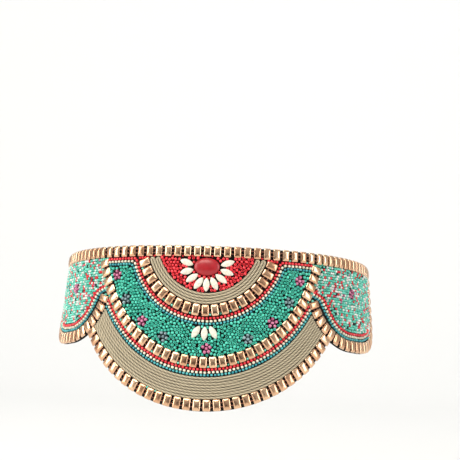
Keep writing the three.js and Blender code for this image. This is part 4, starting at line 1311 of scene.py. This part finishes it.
def elastic_band(side):
    start, stop = run_of(END_ROW_U + HALF_BEAD - STRAP_OVERLAP), back_run - 1.0
    runs = np.linspace(start, stop, 90)
    across = np.linspace(-0.5, 0.5, 6 * RIBS + 1)
    rib = RIB_DEPTH * np.abs(np.sin(math.pi * RIBS * (across + 0.5))) ** 0.7
    edge = np.clip((0.5 - np.abs(across)) * STRAP_WIDTH / 0.6, 0, 1)
    outer = STRAP_LIFT - RIB_DEPTH + rib - 0.5 * (1 - np.sqrt(edge * (2 - edge)))
    inner = STRAP_LIFT - STRAP_THICK + RIB_DEPTH - rib + 0.5 * (1 - np.sqrt(edge * (2 - edge)))
    heights = np.concatenate([across, across[::-1]]) * STRAP_WIDTH
    lifts = np.concatenate([outer, inner[::-1]])
    points = strap_place(runs[:, None], heights[None], lifts[None])
    points[..., 0] *= side
    plan = np.stack(np.broadcast_arrays(runs[:, None], heights[None], lifts[None]), -1)
    count, sides = points.shape[:2]
    flip = -1 if side > 0 else 1
    quads = ring_quads(count, sides)[:, OTHER_WAY_ROUND]
    faces = [array[:, ::flip] for array in [quads, *end_faces(count, sides)]]
    return points.reshape(-1, 3), faces, plan.reshape(-1, 3), stop - start


for side_name, side in (("left", -1), ("right", 1)):
    points, faces, plan, length = elastic_band(side)
    band = make_piece("elastic_band_" + side_name, points, faces, [elastic_cloth],
                      ["elastic_strap_" + side_name], None, {"plan": plan})
print("each strap is", round(length), "mm long")

# %% Sew the straps on
# Two rows of stitches, each stitch 3 mm long, hold a strap to the panel and show on the inside.


def capsule(length, radius, sides=6):
    """A stitch: a rounded rod along the first axis, dipping into the cloth at both ends."""
    at = np.array([-0.5, -0.38, -0.15, 0.15, 0.38, 0.5]) * length
    dip = np.array([-1.0, -0.15, 0.12, 0.12, -0.15, -1.0]) * radius
    centres = np.stack([at, 0 * at, dip], -1)
    ways = np.tile([[0.0, 1.0, 0.0]], (6, 1)), np.tile([[0.0, 0.0, 1.0]], (6, 1))
    return tube(centres, *ways, circle(radius, sides))


STITCH = capsule(2.7, 0.28)
stitches = []
for side in (-1, 1):
    for inset in (3.0, 14.5):
        run = run_of(END_ROW_U + HALF_BEAD - STRAP_OVERLAP) + inset
        heights = np.arange(-STRAP_WIDTH / 2 + 3, STRAP_WIDTH / 2 - 2, 3.1)
        lift = STRAP_LIFT - STRAP_THICK - 0.02
        places = strap_place(run, heights, lift)
        ups = strap_place(run, heights + 0.5, lift) - places
        ups /= np.linalg.norm(ups, axis=1)[:, None]
        inward = strap_place(run, heights, lift - 1.0) - places
        inward /= np.linalg.norm(inward, axis=1)[:, None]
        axes = np.stack([ups, np.cross(inward, ups), inward], -1)
        places[:, 0] *= side
        axes[:, 0] *= side
        axes[..., 1] *= side
        stitches.append(set_copies(STITCH, places, axes, 1.0))
points, faces = joined(stitches)
make_piece("strap_stitches", points, faces, [black_thread])

# %% Mould the sleeve
CLASP_LENGTH, CLASP_WALL, CLASP_RIM = 26.0, 1.4, 2.5


def rounded_box(width, height, radius, corner=6):
    """A rectangle with round corners as (across, lift) points."""
    angle = np.linspace(0, math.pi / 2, corner)
    points = []
    for k, (sx, sy) in enumerate(((1, 1), (-1, 1), (-1, -1), (1, -1))):
        turn = angle + k * math.pi / 2
        points.append(np.stack([sx * (width / 2 - radius) + radius * np.cos(turn),
                                sy * (height / 2 - radius) + radius * np.sin(turn)], -1))
    return np.concatenate(points)


def sleeve():
    slot_height = STRAP_THICK + 2 * CLEARANCE
    slot_width = STRAP_WIDTH + 2 * CLEARANCE
    middle = STRAP_LIFT - STRAP_THICK / 2
    size = (slot_width + 2 * CLASP_RIM, slot_height + 2 * CLASP_WALL)
    half = CLASP_LENGTH / 2
    fillet = 0.9
    turn = np.linspace(0, math.pi / 2, 5)
    edge_in = [(-half + fillet - fillet * math.cos(t), fillet - fillet * math.sin(t)) for t in turn]
    stations = [(x, inset, True) for x, inset in edge_in]
    stations += [(x, 0.0, True) for x in np.linspace(-half + 3, half - 3, 9)]
    stations += [(-x, inset, True) for x, inset in edge_in[::-1]]
    stations += [(x, 0.0, False) for x in np.linspace(half, -half, 13)]
    loops = []
    for x, inset, outer in stations:
        if outer:
            loop = rounded_box(size[0] - 2 * inset, size[1] - 2 * inset, 1.5)
        else:
            loop = rounded_box(slot_width, slot_height, 0.5)
        loops.append(strap_place(back_run + x, loop[:, 0], middle + loop[:, 1]))
    points = np.stack(loops)
    count, sides = points.shape[:2]
    ring = np.arange(sides)
    row = sides * np.arange(count)[:, None]
    after = (row + sides) % (sides * count)
    quads = np.stack([row + ring, row + (ring + 1) % sides, after + (ring + 1) % sides, after + ring], -1)
    return points.reshape(-1, 3), [quads.reshape(-1, 4)]


points, faces = sleeve()
make_piece("clasp_sleeve", points, faces, [moulding], ["clasp"])

# %% [markdown]
# ## Studio
# The belt hangs as if worn, so nothing holds it in the picture. A pale floor sweeps up into a pale
# wall without a corner. Large soft lights stand above and beside. Polished metal shows its
# surroundings, so a dark card lies on the floor in front and turns up behind the camera, and only
# reflections see it: it puts the dark patch into the gold that tells the eye it is metal.

# %% Floor, wall and card
FLOOR_Z = -0.2


def stage_sheet(name, profile, half_width, finish):
    """A sheet swept along X from a (y, z) profile."""
    mesh = bpy.data.meshes.new(name)
    verts = [(x, y, z) for y, z in profile for x in (-half_width, half_width)]
    faces = [(k, k + 1, k + 3, k + 2) for k in range(0, 2 * len(profile) - 2, 2)]
    mesh.from_pydata(verts, [], faces)
    mesh.polygons.foreach_set("use_smooth", np.ones(len(faces), bool))
    mesh.materials.append(finish)
    sheet = bpy.data.objects.new(name, mesh)
    bpy.context.scene.collection.objects.link(sheet)
    sheet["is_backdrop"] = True
    return sheet


def plain(name, hex_value, roughness):
    finish, shader = new_finish(name)
    shader.inputs["Base Color"].default_value = colour(hex_value)
    shader.inputs["Roughness"].default_value = roughness
    return finish


bend_radius, wall_y = 1.0, 2.6
sweep = [(-4.0, FLOOR_Z), (-1.0, FLOOR_Z)]
sweep += [(wall_y - bend_radius + bend_radius * math.sin(t), FLOOR_Z + bend_radius * (1 - math.cos(t)))
          for t in np.linspace(0, math.pi / 2, 24)]
sweep += [(wall_y, 4.0)]
stage_sheet("floor_and_wall", sweep, 5.0, plain("matt_white_paper", "#E9E9E7", 0.9))
card = stage_sheet("dark_card", [(-0.75, FLOOR_Z + 0.01), (-2.3, FLOOR_Z + 0.01), (-2.5, 0.25)], 1.0,
                   plain("dark_felt", "#1A1512", 1.0))
card.visible_camera = card.visible_diffuse = card.visible_shadow = False

# %% Lights
world = bpy.data.worlds.new("pale_room")
bpy.context.scene.world = world
world.use_nodes = True
world.node_tree.nodes["Background"].inputs["Color"].default_value = colour("#F2F4F7")
world.node_tree.nodes["Background"].inputs["Strength"].default_value = 0.53


def soft_light(name, place, width, height, watts, hex_value="#FFFFFF", aim=(0, -0.05, -0.04)):
    light = bpy.data.lights.new(name, "AREA")
    light.shape, light.size, light.size_y = "RECTANGLE", width, height
    light.energy = watts
    light.color = colour(hex_value)[:3]
    lamp = bpy.data.objects.new(name, light)
    lamp.location = place
    lamp.rotation_euler = (Vector(aim) - Vector(place)).to_track_quat("-Z", "Y").to_euler()
    bpy.context.scene.collection.objects.link(lamp)


soft_light("top_front", (-0.5, -1.5, 1.7), 1.6, 1.0, 34, "#FFF6EA")
soft_light("left", (-1.8, -0.8, 0.5), 0.7, 1.5, 20)
soft_light("right", (1.8, -0.8, 0.4), 0.6, 1.4, 14)
soft_light("wall_wash", (0, 1.0, 2.4), 3.0, 1.0, 33, aim=(0, 2.6, 0.3))

# %% Camera
# The photograph was taken from nearly straight ahead and a touch below the belt's upper edge, from
# about two metres away, and the frame is turned clockwise by nearly two degrees.
azimuth, elevation, roll, distance = math.radians(4.31), math.radians(-1.26), math.radians(1.85), 2.2
back = Vector((math.sin(azimuth) * math.cos(elevation), -math.cos(azimuth) * math.cos(elevation),
               math.sin(elevation)))
right = Vector((math.cos(azimuth), math.sin(azimuth), 0))
up = back.cross(right)
eye = right * 0.00867 + up * 0.02063 + back * distance
right, up = (right * math.cos(roll) + up * math.sin(roll), up * math.cos(roll) - right * math.sin(roll))
camera = bpy.data.objects.new("camera", bpy.data.cameras.new("camera"))
camera.matrix_world = Matrix.Translation(eye) @ Matrix((right, up, back)).transposed().to_4x4()
# One pixel of the 460 is 0.85 mm wide at the waist's axis.
PIXEL, PIXELS = 0.00085, 460
camera.data.sensor_width, camera.data.sensor_fit = 36.0, "HORIZONTAL"
camera.data.lens = 36.0 * distance / (PIXEL * PIXELS)
camera.data.clip_end = 50
bpy.context.scene.collection.objects.link(camera)
bpy.context.scene.camera = camera
bpy.context.scene.view_settings.view_transform = "Standard"
print("the lens is", round(camera.data.lens, 1), "mm long")

# %% Compare the sizes and finish
dressed_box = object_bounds()
grown_by = [round(1000 * ((b[1][k] - b[0][k]) - (model_box[1][k] - model_box[0][k])), 1)
            for b in [dressed_box] for k in range(3)]
print("the dressed belt is larger than the solids by", grown_by, "mm")
